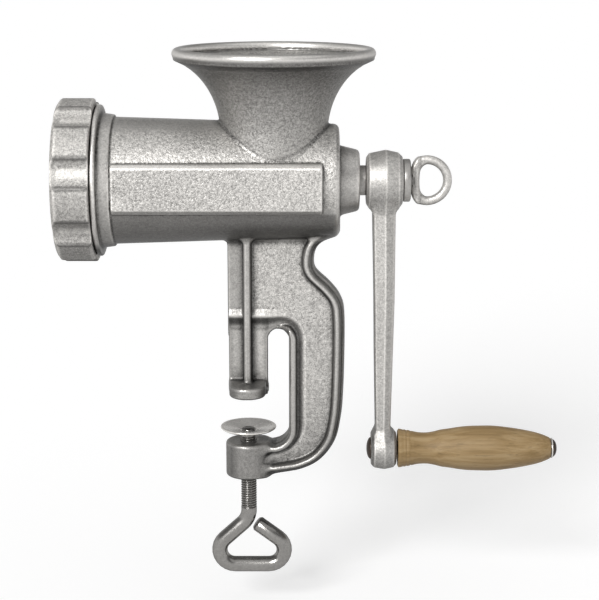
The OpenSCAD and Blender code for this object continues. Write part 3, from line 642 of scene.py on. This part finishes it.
# The feed screw: a worm, a collar on the rear wall, a journal and the crank's square.
FLIGHT_PITCH = 26
FLIGHT_T = 5
FLIGHT_R = BORE_R - 0.4
CORE_R = 10.5
COLLAR_R = CORE_R + 4
COLLAR_T = 5
WORM_L = 40.5 - feed_low.x
JOURNAL_R = 7.4
SQUARE = 5.2
STUD_HOLE_R = 5.05
STUD_HOLE_L = 14.2
EYE_HOLE_R = 4.1


def feed(x, y, z):
    """Feed screw with the holes for the knife's stud and for the eye screw."""
    radius = off_axis(y, z)
    turn = np.arctan2(y, AXIS_Z - z) / (2 * pi)
    along = x - feed_low.x
    near = ((along - FLIGHT_T / 2) / FLIGHT_PITCH + turn + 0.5) % 1 - 0.5
    lead = FLIGHT_PITCH / (2 * pi * np.maximum(radius, 8))
    blade = (np.abs(near) * FLIGHT_PITCH - FLIGHT_T / 2) / np.sqrt(1 + lead * lead)
    blade = keep(blade, radius - FLIGHT_R, 0.8)
    body = keep(join(blade, radius - CORE_R, 3), slab(along, 0, WORM_L), 0.8)
    collar = keep(radius - COLLAR_R, slab(along, WORM_L - COLLAR_T, WORM_L), 0.6)
    solid = join(body, collar, 1)
    journal = keep(radius - JOURNAL_R, slab(along, WORM_L - 2, HUB_X - feed_low.x), 0.3)
    solid = np.minimum(solid, journal)
    square = keep(np.abs(y) - SQUARE, np.abs(z - AXIS_Z) - SQUARE, 0.3)
    square = np.maximum(square, slab(along, WORM_L, feed_high.x - feed_low.x))
    solid = np.minimum(solid, square)
    solid = cut(solid, np.maximum(radius - STUD_HOLE_R, along - STUD_HOLE_L), 0.2)
    return cut(solid, np.maximum(radius - EYE_HOLE_R, eye_low.x - 2 - x), 0.2)


# The ring nut: eight lobes with hollows between them.
RING_LOBES = 8
RING_R = 40.4
RING_BORE_R = 36.2
RING_MOUTH_R = 26.5
RING_LIP = ring_low.x + 3.4
SCALLOP = 3.4
FIRST_SCALLOP = radians(13)
ring_form = Outline(rounded([
    (RING_LIP, RING_MOUTH_R, 0.3), (ring_low.x + 1.2, RING_MOUTH_R, 0.6),
    (ring_low.x, 28, 0.6), (ring_low.x, RING_R - 2.8, 1.5), (ring_low.x + 2, RING_R, 1.6),
    (ring_high.x, RING_R, 1.2), (ring_high.x, RING_BORE_R, 0.4),
    (RING_LIP, RING_BORE_R, 0.3)]), 0.2)


def scallops(y, z):
    """Distance to the hollows round the ring, which lie between its lobes."""
    radius = off_axis(y, z)
    angle = np.arctan2(z - AXIS_Z, -y)
    spacing = 2 * pi / RING_LOBES
    turn = (angle - FIRST_SCALLOP + spacing / 2) % spacing - spacing / 2
    chord = RING_R * sin(spacing / 4)
    hollow_r = (chord * chord + SCALLOP * SCALLOP) / (2 * SCALLOP)
    hollow = length(radius * np.cos(turn) - RING_R + SCALLOP - hollow_r, radius * np.sin(turn))
    return hollow - hollow_r


def lobed_ring(x, y, z):
    """Ring nut with its scallops."""
    return cut(ring_form(x, off_axis(y, z)), scallops(y, z), 0.3)


def crank_marks(x, y, z, slope):
    """Evenly gritty crank, with painted shade on the arm's left and right faces, and a little
    darker downwards as painted shade.
    """
    left = soft(-slope[:, 0], 0.5, 0.75) * (z < AXIS_Z - 16)
    right = soft(slope[:, 0], 0.15, 0.4) * (z < AXIS_Z - 14)
    fall = np.interp(z, [GRIP_Z, AXIS_Z - 50], [0.8, 1])
    # Painted shade towards the grip and on the arm's left and right faces.
    tone = fall * (1 - 0.5 * left) * (1 - 0.2 * right)
    return {"grit": np.full_like(x, 0.45), "tone": tone}


def eye_marks(x, y, z, slope):
    """Evenly gritty eye screw."""
    return {"grit": np.full_like(x, 0.5), "tone": np.ones_like(x)}


def ring_marks(x, y, z, slope):
    """Gritty ring, with painted shade as dark lines where a lobe meets a hollow."""
    corner = np.abs(scallops(y, z)) + np.abs(RING_R - off_axis(y, z))
    line = soft(-corner, -1.5, -0.5) * (x > ring_low.x + 1)
    # Painted shade along the lobe edges.
    return {"grit": np.full_like(x, 0.8), "tone": 1 - 0.65 * line}


# ---- Turned, bent and threaded meshes ----

# Turned outlines that reach their axis stop this far from it, which keeps all faces four-sided.
POLE_R = 0.01


def rings(loops, closed=True):
    """Faces between loops of points of one length each, one loop after the other."""
    count = len(loops[0])
    span = len(loops) if closed else len(loops) - 1
    faces = []
    for i in range(span):
        for k in range(count):
            a = i * count + k
            b = i * count + (k + 1) % count
            c = (i + 1) % len(loops) * count + (k + 1) % count
            d = (i + 1) % len(loops) * count + k
            faces.append((a, b, c, d))
    return [p for loop in loops for p in loop], faces


def turned(profile, place, steps=96):
    """Turns a closed outline of (along, radius) round an axis, placed by a function."""
    loops = []
    for k in range(steps):
        a = 2 * pi * k / steps
        loops.append([place(u, r * cos(a), r * sin(a)) for u, r in profile])
    return rings(loops)


def along_x(height):
    """Places turned points round an axis that runs along x at a height."""
    return lambda u, a, b: (u, a, height + b)


def up_z(u, a, b):
    """Places turned points round the z axis."""
    return (a, b, u)


def swept_rod(path, bends, r, sides=32, steps=10, chamfer=0.9):
    """Rod bent at the corners of a flat path, with a chamfer at its free end."""
    p = [Vector(q) for q in path]
    stations = [(p[0], (p[1] - p[0]).normalized())]
    for i in range(1, len(p) - 1):
        before = (p[i] - p[i - 1]).normalized()
        after = (p[i + 1] - p[i]).normalized()
        turn = before.angle(after)
        start = p[i] - before * bends[i] * tan(turn / 2)
        sign = 1 if before.x * after.y - before.y * after.x > 0 else -1
        middle = start + sign * bends[i] * Vector((-before.y, before.x))
        for k in range(steps + 1):
            h = atan2(before.y, before.x) + sign * turn * k / steps
            way = Vector((cos(h), sin(h)))
            stations.append((middle + sign * bends[i] * Vector((way.y, -way.x)), way))
    way = (p[-1] - p[-2]).normalized()
    radii = [r] * len(stations) + [r, r - chamfer, POLE_R]
    stations += [(p[-1] - way * chamfer, way), (p[-1], way), (p[-1], way)]
    loops = []
    for (at, way), size in zip(stations, radii):
        normal = Vector((-way.y, way.x))
        loop = []
        for k in range(sides):
            a = 2 * pi * k / sides
            loop.append((at.x + normal.x * size * cos(a), -size * sin(a),
                         at.y + normal.y * size * cos(a)))
        loops.append(loop)
    return rings(loops, closed=False)


def threaded_rod(r, depth, pitch, low, high, sides=48, per_turn=8):
    """Rod with a true helical thread, standing from low to high."""
    rows = int((high - low) / pitch * per_turn)
    loops = []
    for i in range(rows + 1):
        z = low + (high - low) * i / rows
        fade = min(1, (z - low) / pitch, (high - z) / pitch)
        loop = []
        for k in range(sides):
            a = 2 * pi * k / sides
            phase = abs((z / pitch - k / sides) % 1 - 0.5) * 2
            ridge = min(max((phase - 0.15) / 0.6, 0), 1)
            size = r - depth * (1 - ridge) * max(fade, 0.2)
            loop.append((size * cos(a), size * sin(a), z))
        loops.append(loop)
    return rings(loops, closed=False)


def merged(*parts):
    """Points and faces of several meshes as one."""
    points, faces = [], []
    for p, f in parts:
        shift = len(points)
        points += list(p)
        faces += [tuple(v + shift for v in face) for face in f]
    return points, faces


# ---- Materials: sizes of noise in repeats a metre, other lengths in metres ----

class Nodes:
    """One node tree, filled with a call for each node."""

    def __init__(self, tree):
        self.tree = tree

    def node(self, kind, **settings):
        made = self.tree.nodes.new(kind)
        for key, value in settings.items():
            setattr(made, key, value)
        return made

    def give(self, socket, value):
        """Links a socket to another node's output, or sets its own value."""
        if isinstance(value, bpy.types.NodeSocket):
            self.tree.links.new(value, socket)
        else:
            socket.default_value = value

    def math(self, operation, a, b, clamp=False):
        made = self.node("ShaderNodeMath", operation=operation, use_clamp=clamp)
        self.give(made.inputs[0], a)
        self.give(made.inputs[1], b)
        return made.outputs[0]

    def spread(self, value, low, high, to_low, to_high, kind="LINEAR"):
        """The value, stretched from low and high to to_low and to_high, and held there."""
        made = self.node("ShaderNodeMapRange", interpolation_type=kind)
        self.give(made.inputs["Value"], value)
        self.give(made.inputs["From Min"], low)
        self.give(made.inputs["From Max"], high)
        self.give(made.inputs["To Min"], to_low)
        self.give(made.inputs["To Max"], to_high)
        return made.outputs["Result"]


class Shade(Nodes):
    """A material's nodes, round its Principled shader."""

    def __init__(self, name, metallic=0.0, specular=0.5):
        self.material = bpy.data.materials.new(name)
        self.material.use_nodes = True
        super().__init__(self.material.node_tree)
        self.shader = self.tree.nodes["Principled BSDF"]
        self.shader.inputs["Metallic"].default_value = metallic
        self.shader.inputs["Specular IOR Level"].default_value = specular
        self.place = self.node("ShaderNodeTexCoord").outputs["Object"]

    def edge_gloss(self, level):
        """Grey level of a metal's gloss at a grazing view."""
        self.shader.inputs["Specular Tint"].default_value = (level, level, level, 1)

    def mark(self, name):
        """Number that field_piece gave to each vertex under this name."""
        return self.node("ShaderNodeAttribute", attribute_name=name).outputs["Fac"]

    def stretched(self, scale):
        made = self.node("ShaderNodeMapping")
        self.give(made.inputs["Vector"], self.place)
        made.inputs["Scale"].default_value = scale
        return made.outputs["Vector"]

    def noise(self, scale, detail, roughness, distortion=0.0, place=None):
        made = self.node("ShaderNodeTexNoise")
        self.give(made.inputs["Vector"], place or self.place)
        made.inputs["Scale"].default_value = scale
        made.inputs["Detail"].default_value = detail
        made.inputs["Roughness"].default_value = roughness
        made.inputs["Distortion"].default_value = distortion
        return made.outputs["Fac"]

    def corners(self, reach):
        """1 on open surfaces, falling towards 0 in corners, for painted shade in corners."""
        made = self.node("ShaderNodeAmbientOcclusion", samples=8, only_local=True)
        made.inputs["Distance"].default_value = reach
        return made.outputs["AO"]

    def ramp(self, value, *stops):
        """Colour between stops, each of them a place and a colour."""
        made = self.node("ShaderNodeValToRGB")
        self.give(made.inputs["Fac"], value)
        band = made.color_ramp.elements
        while len(band) < len(stops):
            band.new(0.5)
        for element, (at, colour) in zip(band, stops):
            element.position = at
            element.color = (*colour, 1)
        return made.outputs["Color"]

    def scaled(self, colour, value):
        made = self.node("ShaderNodeVectorMath", operation="SCALE")
        self.give(made.inputs[0], colour)
        self.give(made.inputs["Scale"], value)
        return made.outputs["Vector"]

    def bump(self, height, distance, strength):
        made = self.node("ShaderNodeBump")
        self.give(made.inputs["Height"], height)
        self.give(made.inputs["Strength"], strength)
        made.inputs["Distance"].default_value = distance
        return made.outputs["Normal"]

    def finish(self, colour, roughness, normal):
        self.give(self.shader.inputs["Base Color"], colour)
        self.give(self.shader.inputs["Roughness"], roughness)
        self.give(self.shader.inputs["Normal"], normal)
        return self.material


TIN_TINT = (1.0, 0.972, 0.93)
RIVET_TINT = (1.0, 0.8, 0.66)
FINE_GRAIN = 1800
COARSE_GRAIN = 760
STEEL_GRAIN = 900
CORNER_SHADE_REACH = 0.006


def cast_tin(name, level, roughness, under=0.5):
    """Tinned cast iron, gritty where sandblasted, with a painted highlight on convex edges and
    painted shade in hollows, in corners and on what faces down, which keeps the share of its
    brightness that under says."""
    s = Shade(name, metallic=0.65, specular=0.3)
    s.edge_gloss(0.55)
    fine = s.noise(FINE_GRAIN, 2, 0.6)
    coarse = s.noise(COARSE_GRAIN, 2, 0.5)
    cloud = s.noise(45, 3, 0.5)
    grit = s.mark("grit")
    tone = s.mark("tone")
    edge = s.mark("edge")
    speckle = s.math("ADD", s.math("MULTIPLY", fine, 0.6), s.math("MULTIPLY", coarse, 0.4))
    speckle = s.spread(speckle, 0.38, 0.62, -0.45, 0.45)
    speckle = s.math("MULTIPLY", speckle, s.spread(grit, 0, 1, 0.25, 1))
    # Painted highlight on convex edges, and painted shade in hollows, both from the edge mark.
    painted_edge_highlight = s.spread(edge, 0.12, 0.8, 0, 0.5)
    hollow = s.spread(edge, -0.7, -0.08, 0.5, 0)
    value = s.math("ADD", 1.0, speckle)
    value = s.math("ADD", value, s.spread(cloud, 0.3, 0.7, -0.06, 0.06))
    value = s.math("ADD", value, painted_edge_highlight)
    value = s.math("SUBTRACT", value, hollow)
    # Painted light and shade from the vertex marks, painted shade on what faces down, and painted
    # shade in corners.
    value = s.math("MULTIPLY", value, s.math("MULTIPLY", tone, level))
    value = s.math("MULTIPLY", value, s.spread(s.mark("up"), -0.75, 0.0, under, 1))
    value = s.math("MULTIPLY", value, s.spread(s.corners(CORNER_SHADE_REACH), 0.3, 0.85, 0.22, 1))
    value = s.math("MINIMUM", value, 0.9)
    rough = s.math("ADD", roughness, s.math("MULTIPLY", grit, 0.12))
    rough = s.math("ADD", rough, s.spread(cloud, 0.3, 0.7, -0.05, 0.05))
    height = s.math("ADD", s.math("MULTIPLY", coarse, 0.7), s.math("MULTIPLY", fine, 0.3))
    normal = s.bump(height, 0.0007, s.spread(grit, 0, 1, 0.12, 0.55))
    return s.finish(s.scaled(TIN_TINT, value), rough, normal)


def plain_metal(name, level, roughness, metallic=0.7, tint=TIN_TINT, bump=0.15):
    """Plated or turned steel with a fine grain and slight clouding."""
    s = Shade(name, metallic=metallic, specular=0.45)
    s.edge_gloss(0.4)
    fine = s.noise(STEEL_GRAIN, 3, 0.6)
    cloud = s.noise(60, 3, 0.5)
    value = s.math("ADD", 1.0, s.spread(fine, 0.3, 0.7, -0.12, 0.12))
    value = s.math("ADD", value, s.spread(cloud, 0.3, 0.7, -0.06, 0.06))
    value = s.math("MULTIPLY", value, level)
    rough = s.math("ADD", roughness, s.spread(cloud, 0.3, 0.7, -0.06, 0.06))
    normal = s.bump(fine, 0.0004, bump)
    return s.finish(s.scaled(tint, value), rough, normal)


def beech():
    """Turned, unvarnished beech with its grain along the grip."""
    s = Shade("beech", specular=0.35)
    long_grain = s.noise(1.0, 5, 0.6, 0.4, s.stretched((14, 330, 330)))
    fibre = s.noise(1.0, 3, 0.6, place=s.stretched((90, 2600, 2600)))
    fleck = s.noise(1.0, 2, 0.5, place=s.stretched((120, 900, 900)))
    colour = s.ramp(long_grain, (0.30, (0.2, 0.128, 0.052)), (0.48, (0.275, 0.184, 0.083)),
                    (0.66, (0.35, 0.25, 0.13)))
    dark = s.spread(fleck, 0.6, 0.72, 0, 0.32)
    dark = s.math("MULTIPLY", dark, s.spread(fibre, 0.4, 0.6, 0.4, 1))
    value = s.math("SUBTRACT", s.spread(fibre, 0.3, 0.7, 0.93, 1.05), dark)
    rough = s.spread(fibre, 0.3, 0.7, 0.5, 0.6)
    return s.finish(s.scaled(colour, value), rough, s.bump(fibre, 0.0003, 0.3))


def fibre_washer():
    """Dark red vulcanised fibre."""
    s = Shade("fibre", specular=0.4)
    speck = s.noise(1400, 3, 0.6)
    value = s.ramp(speck, (0.35, (0.13, 0.045, 0.025)), (0.65, (0.24, 0.09, 0.05)))
    rough = s.spread(speck, 0.3, 0.7, 0.55, 0.7)
    return s.finish(value, rough, s.bump(speck, 0.0003, 0.2))


tin = cast_tin("cast_tin", 0.51, 0.34)
crank_tin = cast_tin("crank_tin", 0.48, 0.44, under=0.7)
screw_tin = plain_metal("screw_tin", 0.42, 0.42)
ring_tin = cast_tin("ring_tin", 0.47, 0.52, under=0.6)
eye_tin = cast_tin("eye_tin", 0.46, 0.36)
washer_steel = plain_metal("washer_steel", 0.4, 0.36)
plate_steel = plain_metal("plate_steel", 0.42, 0.3, metallic=0.85, bump=0.06)
knife_steel = plain_metal("knife_steel", 0.48, 0.28, metallic=0.85, bump=0.06)
stud_steel = plain_metal("stud_steel", 0.4, 0.35, metallic=0.85)
pin_steel = plain_metal("pin_steel", 0.38, 0.35, metallic=0.85)
dark_steel = plain_metal("dark_steel", 0.055, 0.4, metallic=0.5, tint=RIVET_TINT)
grip_washer_steel = plain_metal("grip_washer_steel", 0.7, 0.25)
clamp_steel = plain_metal("clamp_steel", 0.27, 0.24, metallic=0.95, bump=0.04)
pad_steel = plain_metal("pad_steel", 0.8, 0.24, bump=0.05)
wood = beech()
fibre = fibre_washer()

for name, finish in (("plate_key", pin_steel), ("grinding_plate", plate_steel),
                     ("cross_knife", knife_steel), ("knife_stud", stud_steel),
                     ("thrust_washer", fibre)):
    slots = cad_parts[name].data.materials
    slots.clear()
    slots.append(finish)


# ---- Pieces made from fields ----

# Mesh steps. None of them lays a plane of the grid on a flat face, which would come out rough.
CASTING_STEP = 0.69
CRANK_STEP = 0.45
EYE_STEP = 0.32
FEED_STEP = 0.7
RING_STEP = 0.48


def around(low, high, room=1.5):
    """A box with room on all sides, as two corners."""
    return [v - room for v in low], [v + room for v in high]


field_piece("casting_shell", casting, *around(body_low, body_high), CASTING_STEP,
            "casting", "cast_tin", ["grinder_body"], tin, casting_marks)
field_piece("crank_casting", crank, *around(crank_low, crank_high), CRANK_STEP,
            "crank", "crank_tin", ["crank_arm"], crank_tin, crank_marks)
field_piece("eye_bolt", eye, *around(eye_low, eye_high), EYE_STEP,
            "eye", "eye_tin", ["eye_screw"], eye_tin, eye_marks)
field_piece("feed_worm", feed, *around(feed_low, feed_high), FEED_STEP,
            "drive", "screw_tin", ["feed_screw"], screw_tin)
field_piece("lobed_ring", lobed_ring, *around(ring_low, ring_high), RING_STEP,
            "ring", "ring_tin", ["ring_nut"], ring_tin, ring_marks)


# ---- Turned washers, grip and spindle ----

WASHER_R = 10.6
WASHER_BORE_R = 4.3
washer = rounded([
    (washer_low.x, WASHER_BORE_R, 0), (washer_low.x, WASHER_R, 0.6),
    (washer_high.x, WASHER_R, 0.9), (washer_high.x, WASHER_BORE_R, 0)], 4)
new_piece("turned_washer", *turned(washer, along_x(AXIS_Z)), "crank", "washer_steel",
          ["crank_washer"], washer_steel)

# The grip's outline has shares of its length and of its radius.
GRIP_L = grip_high.x - grip_low.x
GRIP_R = (grip_high.z - grip_low.z) / 2
GRIP_BORE_R = 3.6
TURNED_LINES = (0.028, 0.052, 0.078)
LINE_W = 0.008
LINE_DEPTH = 0.3
grip_shape = curve([
    (0, 0.86), (0.025, 0.84), (0.07, 0.79), (0.12, 0.715), (0.175, 0.69), (0.225, 0.73),
    (0.28, 0.82), (0.335, 0.87), (0.39, 0.93), (0.46, 0.98), (0.53, 0.995), (0.6, 1),
    (0.66, 0.975), (0.73, 0.92), (0.8, 0.85), (0.87, 0.76), (0.93, 0.66), (0.975, 0.55),
    (1, 0.47)], 5)
grip_profile = [(grip_low.x, GRIP_BORE_R), (grip_low.x, GRIP_R * 0.8)]
for u, r in grip_shape:
    line = max(max(0, 1 - abs(u - at) / LINE_W) for at in TURNED_LINES)
    grip_profile.append((grip_low.x + 0.5 + u * (GRIP_L - 1), GRIP_R * r - LINE_DEPTH * line))
grip_profile += [(grip_high.x, GRIP_R * 0.4), (grip_high.x, GRIP_BORE_R)]
new_piece("turned_grip", *turned(grip_profile, along_x(GRIP_Z)), "grip", "beech",
          ["wooden_grip"], wood, crease=35)

END_WASHER_R = 5.2
END_WASHER_BORE_R = 3.7
end_washer = rounded([
    (end_washer_low.x, END_WASHER_BORE_R, 0), (end_washer_low.x, END_WASHER_R, 0.2),
    (end_washer_high.x, END_WASHER_R, 0.3), (end_washer_high.x, END_WASHER_BORE_R, 0)], 3)
new_piece("end_washer", *turned(end_washer, along_x(GRIP_Z)), "crank", "grip_washer_steel",
          ["grip_washer"], grip_washer_steel)


def domed(low, high, r, dome_l, steps=8):
    """Rivet outline: a rod whose end swells to a domed head."""
    rise = [(high - dome_l + dome_l * sin(a), r * cos(a))
            for a in (pi / 2 * k / steps for k in range(steps))]
    return [(low, POLE_R), (low, r)] + rise + [(high, POLE_R)]


# The spindle's inner head is a dome made outwards and mirrored in the boss's face.
SPINDLE_R = 3.5
SPINDLE_END = end_washer_high.x + 0.2
inner_head = [(2 * BOSS_X - u, r) for u, r in domed(BOSS_X - 0.2, BOSS_X + 2.3, 5.6, 2.2)]
outer_head = domed(end_washer_high.x, spindle_high.x - 1.1, 4.6, 2.4)
shank = [(BOSS_X, POLE_R), (BOSS_X, SPINDLE_R), (SPINDLE_END, SPINDLE_R), (SPINDLE_END, POLE_R)]
spindle = merged(*(turned(p, along_x(GRIP_Z), 48) for p in (inner_head, outer_head, shank)))
new_piece("rivet_spindle", *spindle, "crank", "dark_steel", ["grip_spindle"], dark_steel)


# ---- Clamp screw and pad ----

ROD_R = 4
CLAMP_PITCH = 1.25
CLAMP_THREAD = 0.7
HANDLE_TOP = NUT_LOW - 23.7
HANDLE_LOW = HANDLE_TOP - 25.4
THREAD_LOW = HANDLE_TOP + 5.5
TIP_R = 2.4
rod = swept_rod([(0, THREAD_LOW + 0.4), (0, HANDLE_TOP), (-28, HANDLE_LOW),
                 (34.2, HANDLE_LOW), (3.9, HANDLE_TOP - 2.8)], [0, 10, 8, 8, 0], ROD_R)
thread = threaded_rod(ROD_R, CLAMP_THREAD, CLAMP_PITCH, THREAD_LOW, pad_low.z - 0.1)
tip = turned([
    (pad_low.z - 0.4, POLE_R), (pad_low.z - 0.4, TIP_R), (screw_high.z - 0.8, TIP_R),
    (screw_high.z - 0.8, 3.5), (screw_high.z - 0.4, 3.4), (screw_high.z, 2.6),
    (screw_high.z, POLE_R)], up_z, 48)
new_piece("bent_screw", *merged(rod, thread, tip), "screw", "clamp_steel", ["clamp_screw"],
          clamp_steel, crease=50)

PAD_R = pad_high.x
PAD_HOLE_R = 2.5
PAD_FLOOR_Z = pad_low.z + 2.3
cup = rounded([
    (pad_low.z, PAD_HOLE_R, 0), (pad_low.z, 4.4, 0.4), (pad_low.z + 0.9, 4.4, 1.0),
    (pad_high.z - 1.5, PAD_R - 1.2, 0.6), (pad_high.z - 0.6, PAD_R, 0.5),
    (pad_high.z, PAD_R - 0.5, 0.4), (pad_high.z, PAD_R - 1.6, 0.4),
    (pad_low.z + 2.9, 5.2, 1.2), (PAD_FLOOR_Z, 4.4, 0.4), (PAD_FLOOR_Z, PAD_HOLE_R, 0)], 4)
new_piece("dished_pad", *turned(cup, up_z), "pad", "pad_steel", ["clamp_pad"], pad_steel,
          crease=50)


# ---- Floor, light and camera ----

FLOOR_COLOUR = 0.6
FLOOR_GLOW = 0.5
FLOOR_DROP = 22
FLOOR_HALF_M = 14
AMBIENT = 0.2
BACKDROP_TOP = 0.2
BACKDROP_FADE = 0.25
CAMERA_PLACE = (26.0, -823.0, 228.9)
CAMERA_PITCH = 12.5
CAMERA_LENS = 100.97


def seen_ray(nodes):
    """1 for rays of the camera, of glossy surfaces and of glass, 0 for the rest."""
    path = nodes.node("ShaderNodeLightPath")
    total = path.outputs["Is Camera Ray"]
    for kind in ("Is Glossy Ray", "Is Transmission Ray"):
        total = nodes.math("ADD", total, path.outputs[kind], clamp=True)
    return total


def studio_light(nodes):
    """Strength of a dim room, with a white backdrop that the camera and glossy metal see. It is
    white up to BACKDROP_TOP, the sine of an angle over the horizon, and fades above that."""
    place = nodes.node("ShaderNodeTexCoord").outputs["Generated"]
    apart = nodes.node("ShaderNodeSeparateXYZ")
    nodes.give(apart.inputs[0], place)
    white = nodes.spread(apart.outputs["Z"], BACKDROP_TOP, BACKDROP_TOP + BACKDROP_FADE,
                         1 - AMBIENT, 0, "SMOOTHSTEP")
    return nodes.math("ADD", nodes.math("MULTIPLY", white, seen_ray(nodes)), AMBIENT)


def floor():
    """Pale floor: it keeps the object's shadow, and looks nearly white."""
    material = bpy.data.materials.new("pale_floor")
    material.use_nodes = True
    nodes = Nodes(material.node_tree)
    shader = nodes.tree.nodes["Principled BSDF"]
    shader.inputs["Base Color"].default_value = (FLOOR_COLOUR, FLOOR_COLOUR, FLOOR_COLOUR, 1)
    shader.inputs["Roughness"].default_value = 1
    shader.inputs["Specular IOR Level"].default_value = 0
    shader.inputs["Emission Color"].default_value = (1, 1, 1, 1)
    glow = nodes.math("MULTIPLY", seen_ray(nodes), FLOOR_GLOW)
    nodes.give(shader.inputs["Emission Strength"], glow)
    mesh = bpy.data.meshes.new("floor")
    half = FLOOR_HALF_M
    height = (screw_low.z - FLOOR_DROP) * MM
    mesh.from_pydata([(-half, -half, height), (half, -half, height), (half, half, height),
                      (-half, half, height)], [], [(0, 1, 2, 3)])
    mesh.materials.append(material)
    piece = bpy.data.objects.new("floor", mesh)
    bpy.context.scene.collection.objects.link(piece)


def sun(name, strength, place, angle):
    """Sunlight from a place towards the object, as soft as the angle of its disc in degrees."""
    data = bpy.data.lights.new(name, "SUN")
    data.energy = strength
    data.angle = radians(angle)
    made = bpy.data.objects.new(name, data)
    made.location = Vector(place)
    made.rotation_euler = Vector(place).to_track_quat("Z", "Y").to_euler()
    bpy.context.scene.collection.objects.link(made)


floor()
sun("key_sun", 2.9, (-0.4, -0.8, 0.5), 26)
sun("top_sun", 0.6, (0.1, -0.25, 1), 70)

world = bpy.data.worlds.new("studio")
world.use_nodes = True
sky = Nodes(world.node_tree)
background = sky.tree.nodes["Background"]
background.inputs["Color"].default_value = (1, 1, 1, 1)
sky.give(background.inputs["Strength"], studio_light(sky))
bpy.context.scene.world = world

camera_data = bpy.data.cameras.new("camera")
camera_data.sensor_fit = "HORIZONTAL"
camera_data.sensor_width = 36
camera_data.lens = CAMERA_LENS
camera_data.clip_end = 50
camera = bpy.data.objects.new("camera", camera_data)
camera.location = Vector(CAMERA_PLACE) * MM
camera.rotation_euler = (radians(90 - CAMERA_PITCH), 0, 0)
bpy.context.scene.collection.objects.link(camera)
bpy.context.scene.camera = camera
bpy.context.scene.view_settings.view_transform = "Standard"
